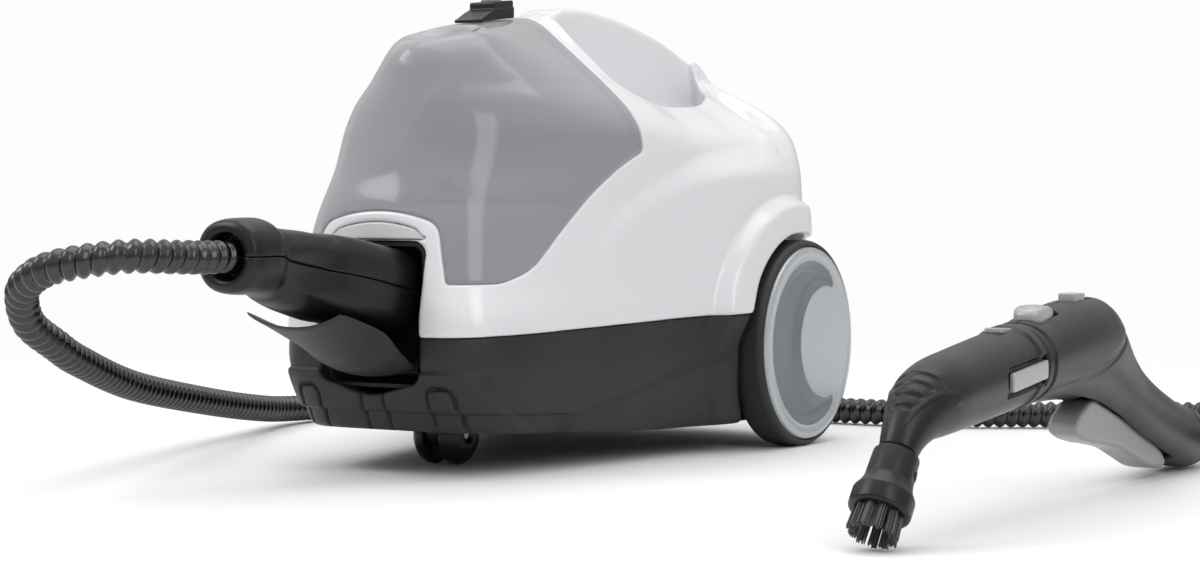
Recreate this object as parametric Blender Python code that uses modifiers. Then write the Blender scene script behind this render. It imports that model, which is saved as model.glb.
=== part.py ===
"""Canister steam cleaner: housing, lift-off water tank, boiler, wheels, caster, steam plug,
hose and hand gun.

Everything is drawn in a floor frame: origin on the floor under the middle of the rear axle,
the machine's front faces -Y, its left side faces +X, +Z is up. At the end the whole set is
hung on an empty that puts the origin on the flat underside of the base, straight above that
point. Dimensions are millimetres; meshes are made in metres.
"""
import math
from collections import namedtuple

import bmesh
import bpy
import numpy as np
from mathutils import Matrix, Vector

MM = 0.001
GAP = 0.4                     # running gap between neighbouring pieces
SIDES = ((1, "left"), (-1, "right"))

# ---------------------------------------------------------------- driving dimensions
WHEEL_R = 62.0                # rear wheel radius, also the axle height
WHEEL_IN = 103.0              # inner face of the wheel
WHEEL_OUT = 127.0             # outer face of the wheel
ARCH_R = 66.0                 # wheel arch radius
WELL_X = 98.5                 # floor of the wheel well
AXLE_R = 5.0
FLOOR_Z = 16.0                # underside of the base
TANK_BACK = -128.0            # plane between the tank and the housing
SOCKET_Z = 98.0               # steam socket axis
PLUG_Y = -262.0               # origin of the steam plug's slide
CASTER_Y = -212.0             # swivel axis
CASTER_TRAIL = 8.0
CASTER_R = 17.0
CASTER_AXLE_Y = CASTER_Y + CASTER_TRAIL
FLAP_HINGE = (-263.0, 57.5)   # y, z
COVER_HINGE = (87.0, 92.4)    # y, z of the cable cover's hinge line
TANK_VALVE_Y = -205
LATCH_Y = -157.5              # button in the tank grip
BOILER_X, BOILER_Y = 0.0, -42.0
BOILER_R = 58.0
BOILER_IN_R = 56.4
FLANGE_R = 64                 # flange where the two boiler halves meet
HOSE_R = 8.5
GUN_X = 358.0                 # plane of the gun's two half shells
TRIGGER_PIN = (-62.0, 11.0)   # y, z
UNLOCK_Y, SELECTOR_Y = -228, -177
BRUSH_Y, BRUSH_Z = -409.5, 8.2

# rounded openings in the casing: middle height, width, height
SOCKET_LOW, SOCKET_HIGH = 47.0, 126.0
SOCKET_OPENING = ((SOCKET_LOW + SOCKET_HIGH) / 2, 2 * 32.5, SOCKET_HIGH - SOCKET_LOW)
HATCH_LOW, HATCH_HIGH = 92.0, 170.0
HATCH_Z = (HATCH_LOW + HATCH_HIGH) / 2
HATCH = (HATCH_Z, 2 * 56.0, HATCH_HIGH - HATCH_LOW)

# reach of the cutters, clear of the body
ACROSS = (-190, 190)
FAR_FRONT, FAR_BACK = -420, 220
AHEAD, BEHIND = -330, 130

# segments and rings of the body's skins
FINE = (44, 26)
MEDIUM = (32, 20)

for old in list(bpy.data.objects):
    bpy.data.objects.remove(old)

MODEL = bpy.data.collections.new("steam_cleaner")
CUTTERS = bpy.data.collections.new("cutters")
bpy.context.scene.collection.children.link(MODEL)
bpy.context.scene.collection.children.link(CUTTERS)
PENDING = []                  # Boolean modifiers, added when every shape exists

# ---------------------------------------------------------------- materials
Look = namedtuple("Look", "colour roughness metallic alpha", defaults=(0.0, 1.0))

WHITE = (0.83, 0.84, 0.85)
CHARCOAL = (0.035, 0.035, 0.037)
BLACK = (0.018, 0.018, 0.019)
GREY = (0.30, 0.31, 0.32)
SILVER = (0.55, 0.57, 0.58)
STEEL = (0.56, 0.55, 0.54)
BRASS = (0.62, 0.44, 0.18)
SMOKE = (0.36, 0.37, 0.39)
BOARD_GREEN = (0.05, 0.22, 0.12)
HOSE_GREY = (0.5, 0.5, 0.5)

GLOSS_WHITE = Look(WHITE, roughness=0.2)
BRIGHT_STEEL = Look(STEEL, roughness=0.3, metallic=1.0)
SATIN_STEEL = Look(STEEL, roughness=0.35, metallic=1.0)
DULL_STEEL = Look(STEEL, roughness=0.4, metallic=1.0)
BRIGHT_BRASS = Look(BRASS, roughness=0.3, metallic=1.0)
CIRCUIT_BOARD = Look(BOARD_GREEN, roughness=0.5)
INNER_HOSE = Look(HOSE_GREY, roughness=0.4)
BLACK_RUBBER = Look(BLACK, roughness=0.7)
BLACK_ROUGH = Look(BLACK, roughness=0.6)
BLACK_PLASTIC = Look(BLACK, roughness=0.5)
BLACK_SATIN = Look(BLACK, roughness=0.45)
GREY_BUTTON = Look(GREY, roughness=0.35)


def material(name, look):
    made = bpy.data.materials.new(name)
    made.use_nodes = True
    shader = made.node_tree.nodes["Principled BSDF"]
    shader.inputs["Base Color"].default_value = (*look.colour, 1.0)
    shader.inputs["Roughness"].default_value = look.roughness
    shader.inputs["Metallic"].default_value = look.metallic
    shader.inputs["Alpha"].default_value = look.alpha
    made.diffuse_color = (*look.colour, look.alpha)
    return made


# ---------------------------------------------------------------- objects, cuts and frames
def put(name, data, look):
    """link a new object; without a look it is a hidden cutter"""
    made = bpy.data.objects.new(name, data)
    if look:
        MODEL.objects.link(made)
        data.materials.append(material(name, look))
    else:
        CUTTERS.objects.link(made)
        made.hide_render = True
        made.display_type = "WIRE"
    return made


def cut(target, *cutters, operation="DIFFERENCE"):
    PENDING.extend((target, cutter, operation) for cutter in cutters)


# local Z runs along +X, along -Y and along +Z
AXIS_FRAME = {
    "X": Matrix(((0, 0, 1, 0), (1, 0, 0, 0), (0, 1, 0, 0), (0, 0, 0, 1))),
    "Y": Matrix(((1, 0, 0, 0), (0, 0, -1, 0), (0, 1, 0, 0), (0, 0, 0, 1))),
    "Z": Matrix.Identity(4),
}
# local Z runs along +Y
TO_BACK = AXIS_FRAME["Y"] @ Matrix.Rotation(math.pi, 4, "X")


def outward(side):
    """frame whose local Z runs outward on the given side"""
    if side > 0:
        return AXIS_FRAME["X"]
    return Matrix.Rotation(math.pi, 4, "Z") @ AXIS_FRAME["X"]


def shift(x, y, z):
    return Matrix.Translation((x * MM, y * MM, z * MM))


# ---------------------------------------------------------------- outlines and paths
def rounded(middle_a, middle_b, width, height, radius):
    """rectangle with three segments per rounded corner"""
    points = []
    for corner, (sign_a, sign_b) in enumerate(((1, 1), (-1, 1), (-1, -1), (1, -1))):
        for i in range(4):
            angle = math.radians(90 * corner + 90 * i / 3)
            points.append((middle_a + sign_a * (width / 2 - radius) + radius * math.cos(angle),
                           middle_b + sign_b * (height / 2 - radius) + radius * math.sin(angle)))
    return points


def inset_opening(opening, inset, radius):
    """outline of a casing opening, with its width and height reduced by the inset"""
    middle_z, width, height = opening
    return rounded(0, middle_z, width - inset, height - inset, radius)


def circle(middle_a, middle_b, radius, count):
    angles = [math.tau * i / count for i in range(count)]
    return [(middle_a + radius * math.cos(angle), middle_b + radius * math.sin(angle))
            for angle in angles]


def mirrored(half):
    """whole outline from its -X half, whose last point is on the centre line"""
    return half + [(-x, z) for x, z in reversed(half[:-1])]


def smooth_path(points, per_span):
    """Catmull-Rom curve through the route points"""
    route = [np.array(point, float) for point in points]
    route = [2 * route[0] - route[1]] + route + [2 * route[-1] - route[-2]]
    path = []
    for i in range(1, len(route) - 2):
        before, start, end, after = route[i - 1:i + 3]
        for k in range(per_span):
            t = k / per_span
            path.append(0.5 * ((2 * start) + (-before + end) * t
                               + (2 * before - 5 * start + 4 * end - after) * t * t
                               + (-before + 3 * start - 3 * end + after) * t ** 3))
    path.append(route[-2])
    return path


# ---------------------------------------------------------------- solids
def to_mesh(name, shape):
    mesh = bpy.data.meshes.new(name)
    shape.to_mesh(mesh)
    shape.free()
    return mesh


def turned(name, profile, where, steps, look=None, ring=False):
    """turned piece from (radius, height) points; a ring profile closes on itself"""
    shape = bmesh.new()
    verts = [shape.verts.new((radius * MM, 0, height * MM)) for radius, height in profile]
    for start, end in zip(verts, verts[1:]):
        shape.edges.new((start, end))
    if ring:
        shape.edges.new((verts[-1], verts[0]))
    made = put(name, to_mesh(name, shape), look)
    screw = made.modifiers.new("turn", "SCREW")
    screw.angle = math.tau
    screw.steps = screw.render_steps = steps
    screw.screw_offset = 0
    screw.use_merge_vertices = True
    screw.merge_threshold = 0.00001
    screw.use_smooth_shade = False
    made.matrix_world = where
    return made


def add_spline(curve_data, points, cyclic):
    """poly spline through 3D points in millimetres"""
    spline = curve_data.splines.new("POLY")
    spline.points.add(len(points) - 1)
    for target, (x, y, z) in zip(spline.points, points):
        target.co = (x * MM, y * MM, z * MM, 1)
    spline.use_cyclic_u = cyclic


def plate(name, outlines, axis, span, look=None):
    """flat outline (with optional holes) extruded over a span of an axis.
    Outline points are (y, z) for X, (x, z) for Y and (x, y) for Z."""
    flat = bpy.data.curves.new(name, "CURVE")
    flat.dimensions = "2D"
    flat.fill_mode = "BOTH"
    flat.extrude = abs(span[1] - span[0]) / 2 * MM
    for outline in outlines:
        add_spline(flat, [(a, b, 0) for a, b in outline], cyclic=True)
    source = bpy.data.objects.new(name + "_outline", flat)
    CUTTERS.objects.link(source)
    middle = Vector((0, 0, 0))
    middle["XYZ".index(axis)] = (span[0] + span[1]) / 2 * MM
    source.matrix_world = Matrix.Translation(middle) @ AXIS_FRAME[axis]
    bpy.context.view_layer.update()

    evaluated = source.evaluated_get(bpy.context.evaluated_depsgraph_get())
    mesh = bpy.data.meshes.new_from_object(evaluated)
    shape = bmesh.new()
    shape.from_mesh(mesh)
    bmesh.ops.remove_doubles(shape, verts=shape.verts, dist=0.000002)
    bmesh.ops.transform(shape, matrix=source.matrix_world, verts=shape.verts)
    bmesh.ops.recalc_face_normals(shape, faces=shape.faces)
    shape.to_mesh(mesh)
    shape.free()
    bpy.data.objects.remove(source)
    mesh.materials.clear()
    mesh.name = name
    return put(name, mesh, look)


def tube(name, points, radius, look, resolution=1):
    path = bpy.data.curves.new(name, "CURVE")
    path.dimensions = "3D"
    path.bevel_depth = radius * MM
    path.bevel_resolution = resolution
    path.use_fill_caps = True
    add_spline(path, points, cyclic=False)
    return put(name, path, look)


def loft(name, sections, look):
    """closed loft between unlike sections, flat ends"""
    shape = bmesh.new()
    rows = [[shape.verts.new((x * MM, y * MM, z * MM)) for x, y, z in section]
            for section in sections]
    count = len(rows[0])
    for row, after in zip(rows, rows[1:]):
        for i in range(count):
            j = (i + 1) % count
            shape.faces.new((row[i], row[j], after[j], after[i]))
    shape.faces.new(rows[0])
    shape.faces.new(rows[-1])
    bmesh.ops.triangulate(shape, faces=[face for face in shape.faces if len(face.verts) == 4])
    bmesh.ops.recalc_face_normals(shape, faces=shape.faces)
    return put(name, to_mesh(name, shape), look)


def box(name, low, high, look=None):
    shape = bmesh.new()
    bmesh.ops.create_cube(shape, size=1.0)
    size = [(b - a) * MM for a, b in zip(low, high)]
    middle = [(a + b) / 2 * MM for a, b in zip(low, high)]
    bmesh.ops.transform(shape, matrix=Matrix.Translation(middle) @ Matrix.Diagonal((*size, 1)),
                        verts=shape.verts)
    return put(name, to_mesh(name, shape), look)


# ---------------------------------------------------------------- skins of scalar fields
# A field takes x, y, z arrays and is negative inside the solid.
CORE_FRONT, CORE_BACK = -190.0, 15.0   # ends of the line the capsule's rays start from
CAP_LATITUDE = 38.0                    # beyond this the rays tilt towards the poles
SCAN_STEP = 4.0


def unit_sphere(segments, rings):
    shape = bmesh.new()
    bmesh.ops.create_uvsphere(shape, u_segments=segments, v_segments=rings, radius=1.0)
    return shape, np.array([vert.co[:] for vert in shape.verts])


def surface_points(field, origins, rays, inside, outside, rounds):
    """bisect each ray between an inside and an outside distance"""
    for _ in range(rounds):
        middle = (inside + outside) / 2
        points = origins + rays * middle[:, None]
        is_inside = field(points[:, 0], points[:, 1], points[:, 2]) < 0
        inside = np.where(is_inside, middle, inside)
        outside = np.where(is_inside, outside, middle)
    return origins + rays * inside[:, None]


def put_skin(name, shape, points, quad_method, look=None):
    for vert, point in zip(shape.verts, points * MM):
        vert.co = point
    bmesh.ops.triangulate(shape, faces=shape.faces, quad_method=quad_method)
    bmesh.ops.recalc_face_normals(shape, faces=shape.faces)
    return put(name, to_mesh(name, shape), look)


def skin(name, field, segments, rings, core_z=112.0, look=None, remap=None):
    """solid skin of a field: a sphere with its poles on Y is stretched into a capsule and
    pushed out to the surface; remap moves the ray origins along Y"""
    shape, sphere = unit_sphere(segments, rings)
    latitude = np.degrees(np.arcsin(np.clip(sphere[:, 2], -1, 1)))
    around = np.arctan2(sphere[:, 1], sphere[:, 0])
    beyond = np.abs(latitude) - CAP_LATITUDE
    tilt = np.where(beyond > 0, beyond / (90 - CAP_LATITUDE) * 90 * np.sign(latitude), 0.0)
    core_y = CORE_FRONT + ((np.clip(latitude, -CAP_LATITUDE, CAP_LATITUDE) + CAP_LATITUDE)
                           / (2 * CAP_LATITUDE) * (CORE_BACK - CORE_FRONT))
    if remap is not None:
        core_y = np.interp(core_y, *remap)
    tilt = np.radians(tilt)
    rays = np.stack([np.cos(tilt) * np.cos(around), np.sin(tilt),
                     np.cos(tilt) * np.sin(around)], 1)
    origins = np.stack([np.zeros_like(core_y), core_y, np.full_like(core_y, core_z)], 1)
    # the outermost inside sample brackets the surface
    last = np.zeros(len(rays))
    for distance in np.linspace(SCAN_STEP, 300, 75):
        points = origins + rays * distance
        last = np.where(field(points[:, 0], points[:, 1], points[:, 2]) < 0, distance, last)
    points = surface_points(field, origins, rays, last, last + SCAN_STEP, rounds=22)
    return put_skin(name, shape, points, "SHORT_EDGE", look)


def blob(name, field, centre, segments, rings):
    """closed skin of a field that is star shaped about a centre"""
    shape, rays = unit_sphere(segments, rings)
    points = surface_points(field, np.array(centre, float), rays,
                            np.zeros(len(rays)), np.full(len(rays), 200.0), rounds=26)
    return put_skin(name, shape, points, "BEAUTY")


# ---------------------------------------------------------------- body form
# height, half width at the tank plane, reach ahead of it, squareness, taper
BODY_STATIONS = (
    (14, 82, 134, 5.0, .13), (27, 87, 141, 5.0, .13), (65, 94, 151, 5.6, .13),
    (82, 94, 151, 5.2, .13), (103, 91, 148.5, 4.2, .125), (139, 87, 142, 3.3, .115),
    (165, 85, 132.5, 2.7, .11), (185, 83, 126.5, 2.45, .09), (200, 77, 122.5, 2.25, .06),
    (215, 65, 118.5, 2.0, .03), (234, 48, 114, 1.85, 0), (250, 38, 111, 1.8, 0),
    (270, 30, 108, 1.8, 0),
)
LEVEL, HALF_WIDTH, REACH, SQUARENESS, TAPER = zip(*BODY_STATIONS)

# Tables of stations and their values. Stations are y, except where noted.
LOWER_FLARE = ((-128, -112, -95, -75, -55, -30, 0, 40),         # added below the crease
               (0, 3.2, 8.0, 15.5, 20.5, 23.5, 24.5, 22))
UPPER_FLARE = ((-128, -107, -73, -30, 26, 60),                  # added above the crease
               (0, 3, 7.5, 13.5, 15.5, 15))
CREASE_Z = ((-192, -185, -167, -138, -107, -73, -30, 26, 60),
            (96, 112, 136, 153, 165, 176, 183, 192, 196))
CREASE_BAND = ((-190, -128, -60, 40), (12, 14, 18, 34))         # height of the blend
BACK_Y = ((14, 40, 100, 140, 180, 235), (70, 82, 86, 78, 64, 54))   # stations are z
RIDGE_Z = ((-250, -242, -214, -196, -175, -150, -128, -112,
            -97, -77, -45, -17, 14, 40, 58, 90),
           (231, 233.5, 240, 245, 249, 252, 254.5, 258.5,
            263, 263.5, 261, 256.5, 249.5, 240, 231, 218))
GABLE_SLOPE = ((-128, -100, -50, 0, 26, 60), (.82, .80, .70, .58, .48, .46))
GABLE_X = ((-128, -100, -70, -30, 26, 60), (82, 86, 91, 97, 98, 98))
GABLE_Z = ((-128, -100, -70, -30, 26, 60), (196, 191, 184, 182, 189, 192))
CROWN_X = ((-250, -200, -150, -128, -100, -50, 0, 30, 60),      # half width of the crown
           (30, 30, 27, 20, 15, 14, 15, 19, 26))
RIM_X = ((-128, -110, -80, -50, -20, 10, 45), (50, 55, 62, 62, 56, 45, 24))
CAVITY_TOP_Z = ((-290, -176, -131, -124), (141, 141, 167, 168))


def curve(table, x):
    """smooth monotone curve through a table of stations and values"""
    stations, values = (np.asarray(column, float) for column in table)
    width = np.diff(stations)
    slope = np.diff(values) / width
    tangent = np.zeros(len(stations))
    tangent[0] = slope[0]
    tangent[-1] = slope[-1]
    for i in range(1, len(stations) - 1):
        if slope[i - 1] * slope[i] > 0:
            weight_before = 2 * width[i] + width[i - 1]
            weight_after = width[i] + 2 * width[i - 1]
            tangent[i] = ((weight_before + weight_after)
                          / (weight_before / slope[i - 1] + weight_after / slope[i]))
    x = np.clip(x, stations[0], stations[-1])
    i = np.clip(np.searchsorted(stations, x, side="right") - 1, 0, len(width) - 1)
    t = (x - stations[i]) / width[i]
    return ((1 + 2 * t) * (1 - t) ** 2 * values[i]
            + t * (1 - t) ** 2 * width[i] * tangent[i]
            + t * t * (3 - 2 * t) * values[i + 1]
            + t * t * (t - 1) * width[i] * tangent[i + 1])


def smooth_max(a, b, blend):
    share = np.clip(0.5 + 0.5 * (a - b) / blend, 0, 1)
    return b + (a - b) * share + blend * share * (1 - share)


def ease(x):
    x = np.clip(x, 0, 1)
    return x * x * (3 - 2 * x)


def wall(x, y, z, inset):
    """front, side and back surface of the body, moved inward by the inset"""
    half_width = curve((LEVEL, HALF_WIDTH), z) - inset
    reach = curve((LEVEL, REACH), z) - inset
    power = curve((LEVEL, SQUARENESS), z)
    across = np.abs(x)
    # nose: tapered superellipse ahead of the tank plane
    ahead = np.maximum(TANK_BACK - y, 0.0)
    tapered = np.maximum(half_width - curve((LEVEL, TAPER), z) * ahead, 4.0)
    level = ((across / tapered) ** power + (ahead / reach) ** power) ** (1 / power)
    nose = (level - 1) * (np.sqrt(x * x + ahead * ahead) + 1e-6) / np.maximum(level, 1e-3)
    # flank: wider below the crease and around the wheel arch
    lower = curve(LOWER_FLARE, y)
    upper = curve(UPPER_FLARE, y)
    below = ease((curve(CREASE_Z, y) - z) / curve(CREASE_BAND, y))
    swell = np.where(y < TANK_BACK, 2.2 * ease((y + 196) / 50), 2.2 * ease((-y - 70) / 58))
    axle_distance = np.sqrt(y * y + (z - WHEEL_R) ** 2)
    near_arch = ease((90 - axle_distance) / 8)
    flank = (half_width + upper + (lower - upper) * below
             + 6.5 * near_arch * ease((z - 58) / 26) + 2.0 * near_arch)
    side = np.where(y < TANK_BACK, nose, across - flank) - swell * below
    # back: bowed forward towards the sides
    back = curve(BACK_Y, z) - inset
    back = back - (back - 30) * (np.minimum(across, 112) / 108.0) ** 3.2
    return smooth_max(side, (y - back) * 0.9, 14.0)


def ridge(y):
    """height of the roof's centre line"""
    return curve(RIDGE_Z, y)


def gable(x, y, inset=0.0):
    """height of the roof's sloping side"""
    rise = curve(GABLE_SLOPE, y) * (curve(GABLE_X, y) - np.abs(x))
    return curve(GABLE_Z, y) + rise - inset * 1.25


def body(x, y, z, inset=0.0):
    """whole outer form, before the recesses beside the handle are cut"""
    across = np.abs(x)
    side_slope = gable(x, y, inset)
    top = ridge(y) - inset
    crown = curve(CROWN_X, y)
    rim = curve(RIM_X, y)
    share = np.clip((across - crown) / np.maximum(rim - crown, 4),
                    0, 1.6 + 6 * ease((y - 2) / 30))
    shoulder = top - (top - gable(rim, y, inset)) * share
    housing_share = ease((y - TANK_BACK) / 14)
    slope = shoulder * housing_share + side_slope * (1 - housing_share)
    roof = -smooth_max(-np.maximum(slope, side_slope), -(top - 0.02 * across), 7.0)
    solid = smooth_max(wall(x, y, z, inset), (z - roof) * 0.72, 9.0)
    return np.maximum(solid, 6.0 - z)


def inset_body(inset):
    return lambda x, y, z: body(x, y, z, inset)


def hand_recess(x, y, z):
    """open-topped hollow beside the carrying handle, x positive"""
    inner = 12.5 + (262 - z) * 0.13 - x
    power = np.where(y < -60, 4.2, 1.9)
    length = np.where(y < -60, 57.0, 108.0)
    level = ((np.abs(x) / 64.0) ** power + (np.abs(y + 60) / length) ** power) ** (1 / power)
    sides = smooth_max(inner, (level - 1) * 52.0, 8.0)
    return np.maximum(smooth_max(sides, 200.0 - z, 10.0), z - 290)


def housing_inside(x, y, z):
    """inside of the housing, with thicker walls ahead of y = -112"""
    thickness = 5.0 + 2.0 * ease((-112 - y) / 10)
    top = np.where(y < -120, curve(CAVITY_TOP_Z, y), np.minimum(gable(x, y) - 9, 190.0))
    return np.maximum(smooth_max(wall(x, y, z, thickness), z - top, 10.0), 8.0 - z)


def base_inside(x, y, z):
    floor = (FLOOR_Z + 3.5) + 0.05 * np.maximum(-110 - y, 0)
    return np.maximum(np.maximum(wall(x, y, z, 3.2), floor - z), z - 118)


def base_outside(x, y, z):
    return np.maximum(np.maximum(wall(x, y, z, 0.5), 6.0 - z), z - 112)


def cover_inside(x, y, z):
    return np.maximum(np.maximum(wall(x, y, z, 3.0), 20 - z), z - 215)


def split_z(y):
    """parting line between the housing and the base"""
    return 75.0 + (y + 280) * 0.032


# ---------------------------------------------------------------- casing cutters
lower_side = plate("lower_side", [[
    (FAR_FRONT, -80), (FAR_BACK, -80),
    (FAR_BACK, split_z(FAR_BACK)), (FAR_FRONT, split_z(FAR_FRONT)),
]], "X", ACROSS)
upper_side = plate("upper_side", [[
    (FAR_FRONT, split_z(FAR_FRONT) - GAP), (FAR_BACK, split_z(FAR_BACK) - GAP),
    (FAR_BACK, 330), (FAR_FRONT, 330),
]], "X", ACROSS)
# the underside rises towards the front
under_floor = plate("under_floor", [[
    (FAR_FRONT, -120), (FAR_BACK, -120), (FAR_BACK, FLOOR_Z), (-110, FLOOR_Z),
    (-280, FLOOR_Z + 8.7), (FAR_FRONT, FLOOR_Z + 15.5),
]], "X", ACROSS)
housing_cavity = skin("housing_cavity", housing_inside, 28, 20,
                      remap=((-190, -124.5, -119, 15), (-190, -124.5, -116, 15)))
base_cavity = skin("base_cavity", base_inside, 28, 16, core_z=70.0)

# arch of the front fascia below the tank, (x, z)
ARCH = mirrored([(-45.2, 60), (-45.2, 103), (-38.5, 129.5), (-34.5, 134.2),
                 (-27, 137.8), (-14, 141), (0, 142)])
ARCH_CLEARANCE = 0.6
ARCH_SPAN = (AHEAD, -222)
arch_wide = [(x + ARCH_CLEARANCE * np.sign(x), z + ARCH_CLEARANCE) for x, z in ARCH]
fascia_arch = plate("fascia_arch", [ARCH], "Y", ARCH_SPAN)
fascia_arch_wide = plate("fascia_arch_wide", [arch_wide], "Y", ARCH_SPAN)

# lower edge of the tank from front to back, (y, z)
TANK_EDGE = [(-340, 103), (-252, 103.4), (-238, 107), (-226, 112.5), (-216, 120.5),
             (-206, 129), (-190, 141.5), (-172, 154), (-150, 166.5), (TANK_BACK, 176)]
TANK_IN_BACK = TANK_BACK - 0.6
tank_zone = plate("tank_zone", [TANK_EDGE + [(TANK_BACK, 320), (-340, 320)]], "X", ACROSS)
raised_edge = [(y, z + 0.7) for y, z in TANK_EDGE[:-1]]
tank_zone_in = plate("tank_zone_in", [raised_edge + [
    (TANK_IN_BACK, 176.4), (TANK_IN_BACK, 320), (-340, 320),
]], "X", ACROSS)

# part of the housing that stands up inside the tank's skirt
pedestal = skin("pedestal", inset_body(4.2), *FINE)
pedestal_top = plate("pedestal_top", [[
    (-360, 146), (-175, 146), (-120, 180.8), (FAR_BACK, 180.8), (FAR_BACK, 340), (-360, 340),
]], "X", ACROSS)
cut(pedestal, pedestal_top)
cut(tank_zone, pedestal, fascia_arch)

WELL_END = 150                # beyond the outside of the body
WELL_WALL = 3
wells = []
for side, tag in SIDES:
    wells.append(plate("well_" + tag, [circle(0, WHEEL_R, ARCH_R, 36)], "X",
                       (side * WELL_X, side * WELL_END)))
    well_wall = plate("well_wall_" + tag, [circle(0, WHEEL_R, ARCH_R + WELL_WALL, 30)], "X",
                      (side * (WELL_X - WELL_WALL), side * WELL_END))
    cut(housing_cavity, well_wall)
    cut(base_cavity, well_wall)

socket_opening = plate("socket_opening", [inset_opening(SOCKET_OPENING, 0, 8)], "Y",
                       (AHEAD, -206))
caster_pocket = plate("caster_pocket", [circle(0, CASTER_Y, 34, 28)], "Z", (-20, 41.5))
caster_wall = plate("caster_wall", [circle(0, CASTER_Y, 37, 28)], "Z", (-20, 44.7))
cut(base_cavity, caster_wall)
stem_hole = plate("stem_hole", [circle(0, CASTER_Y, 5.4, 16)], "Z", (30, 60))

# -X half of the indicator window, (x, z), and the pocket's clearance in z at each point
WINDOW_HALF = [(-29, 127.6), (-27.5, 130.2), (-21, 133.4), (-11, 135.6), (0, 136.3)]
WINDOW_RISE = (-0.4, 0.3, 0.4, 0.4, 0.4)
WINDOW_STRETCH = 1.017        # pocket width over window width
window_wide = mirrored([(x * WINDOW_STRETCH, z + rise)
                        for (x, z), rise in zip(WINDOW_HALF, WINDOW_RISE)])
window_pocket = plate("window_pocket", [window_wide], "Y", (AHEAD, -255))
hatch_hole = plate("hatch_hole", [inset_opening(HATCH, 0, 8)], "Y", (46, BEHIND))


def handle_hollows(side, tag):
    """the two hollows on one side of the carrying handle"""
    scoop = blob("hand_recess_" + tag, lambda x, y, z: hand_recess(x * side, y, z),
                 (side * 38, -62, 236), 28, 18)
    # unit ball, then stretched, turned and sheared into place
    rear = blob("rear_recess_" + tag, lambda x, y, z: np.sqrt(x * x + y * y + z * z) - 1.0,
                (0, 0, 0), 20, 12)
    turn = Matrix.Rotation(math.radians(-24 * side), 4, "Z")
    lean = Matrix.Identity(4)
    lean[2][0] = -0.47 * side
    stretch = Matrix.Diagonal((40, 17, 30, 1))
    rear.data.transform(shift(side * 63, 27, 226) @ lean @ turn @ stretch)
    return scoop, rear


# ---------------------------------------------------------------- housing and base
upper_housing = skin("upper_housing", body, *FINE, look=GLOSS_WHITE)
cut(upper_housing, lower_side, housing_cavity, tank_zone, *wells, socket_opening,
    window_pocket, hatch_hole)
for side, tag in SIDES:
    cut(upper_housing, *handle_hollows(side, tag))

base_pan = skin("base_pan", base_outside, 36, 20, core_z=60.0,
                look=Look(CHARCOAL, roughness=0.5))
cut(base_pan, upper_side, under_floor, base_cavity, *wells, socket_opening, caster_pocket,
    stem_hole)

# recess behind the opening, with the steam socket at its back
socket_recess = plate("socket_recess", [inset_opening(SOCKET_OPENING, 0.9, 7.6),
                                        inset_opening(SOCKET_OPENING, 5, 5.6)],
                      "Y", (-270, -216), BLACK_ROUGH)
recess_back = plate("recess_back", [inset_opening(SOCKET_OPENING, 2, 7),
                                    circle(0, SOCKET_Z, 13.6, 20)], "Y", (-218.6, -215.9))
cut(socket_recess, recess_back, operation="UNION")
turned("steam_socket",
       [(13.2, 22), (13.2, 0), (9.2, 0), (8.0, 2), (8.0, 20), (11.0, 22)],
       shift(0, -238.0, SOCKET_Z) @ TO_BACK, 20, BRIGHT_STEEL, ring=True)

indicator_window = skin("indicator_window", body, *FINE, look=Look(GREY, roughness=0.25))
window_body = plate("window_body", [mirrored(WINDOW_HALF)], "Y", (AHEAD, -263.5))
cut(indicator_window, window_body, operation="INTERSECT")
box("indicator_board", (-19, -258.6, 128.4), (19, -257.0, 132.8), CIRCUIT_BOARD)

# ---------------------------------------------------------------- socket cover flap
# y, half width, height of the middle, rise of the edges, thickness
FLAP = (
    (-265.0, 27.5, 57.0, 0.3, 2.6), (-274.0, 28.5, 56.0, 2.4, 2.4),
    (-290.0, 30.5, 59.5, 6.0, 2.2), (-310.0, 32.0, 67.5, 8.6, 2.2),
    (-330.0, 32.5, 76.5, 8.6, 2.0), (-344.0, 29.5, 82.5, 7.5, 1.8),
)


def flap_section(y, half_width, middle_z, rise, thickness):
    line = [(x, middle_z + rise * (abs(x) / half_width) ** 2.2)
            for x in np.linspace(-half_width, half_width, 9)]
    return ([(x, y, z + thickness / 2) for x, z in line]
            + [(x, y, z - thickness / 2) for x, z in reversed(line)])


flap_frame = shift(0, *FLAP_HINGE) @ AXIS_FRAME["X"]
socket_flap = loft("socket_flap", [flap_section(*row) for row in FLAP],
                   Look(CHARCOAL, roughness=0.35))
flap_barrel = turned("flap_barrel", [(3.4, 24), (3.4, -24), (1.9, -24), (1.9, 24)],
                     flap_frame, 14, ring=True)
cut(socket_flap, flap_barrel, operation="UNION")
turned("flap_pin", [(0, 29.7), (1.5, 29.7), (1.5, -29.7), (0, -29.7)],
       flap_frame, 10, SATIN_STEEL)

# ---------------------------------------------------------------- steam generator
boiler_frame = shift(BOILER_X, BOILER_Y, 0)
turned("boiler_upper",
       [(16, 136), (40, 133), (53, 124), (BOILER_R, 108), (BOILER_R, 90.4),
        (FLANGE_R, 90.4), (FLANGE_R, 87.4), (BOILER_IN_R, 87.4), (BOILER_IN_R, 107),
        (51.5, 122), (39, 130.8), (16, 133.8)],
       boiler_frame, 20, SATIN_STEEL, ring=True)
turned("boiler_lower",
       [(0, 35.5), (37, 38), (51.5, 47), (BOILER_IN_R, 65), (BOILER_IN_R, 87.0),
        (FLANGE_R, 87.0), (FLANGE_R, 84), (BOILER_R, 84), (BOILER_R, 64),
        (53, 46), (38, 36), (0, 33.5)],
       boiler_frame, 20, DULL_STEEL)

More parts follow.
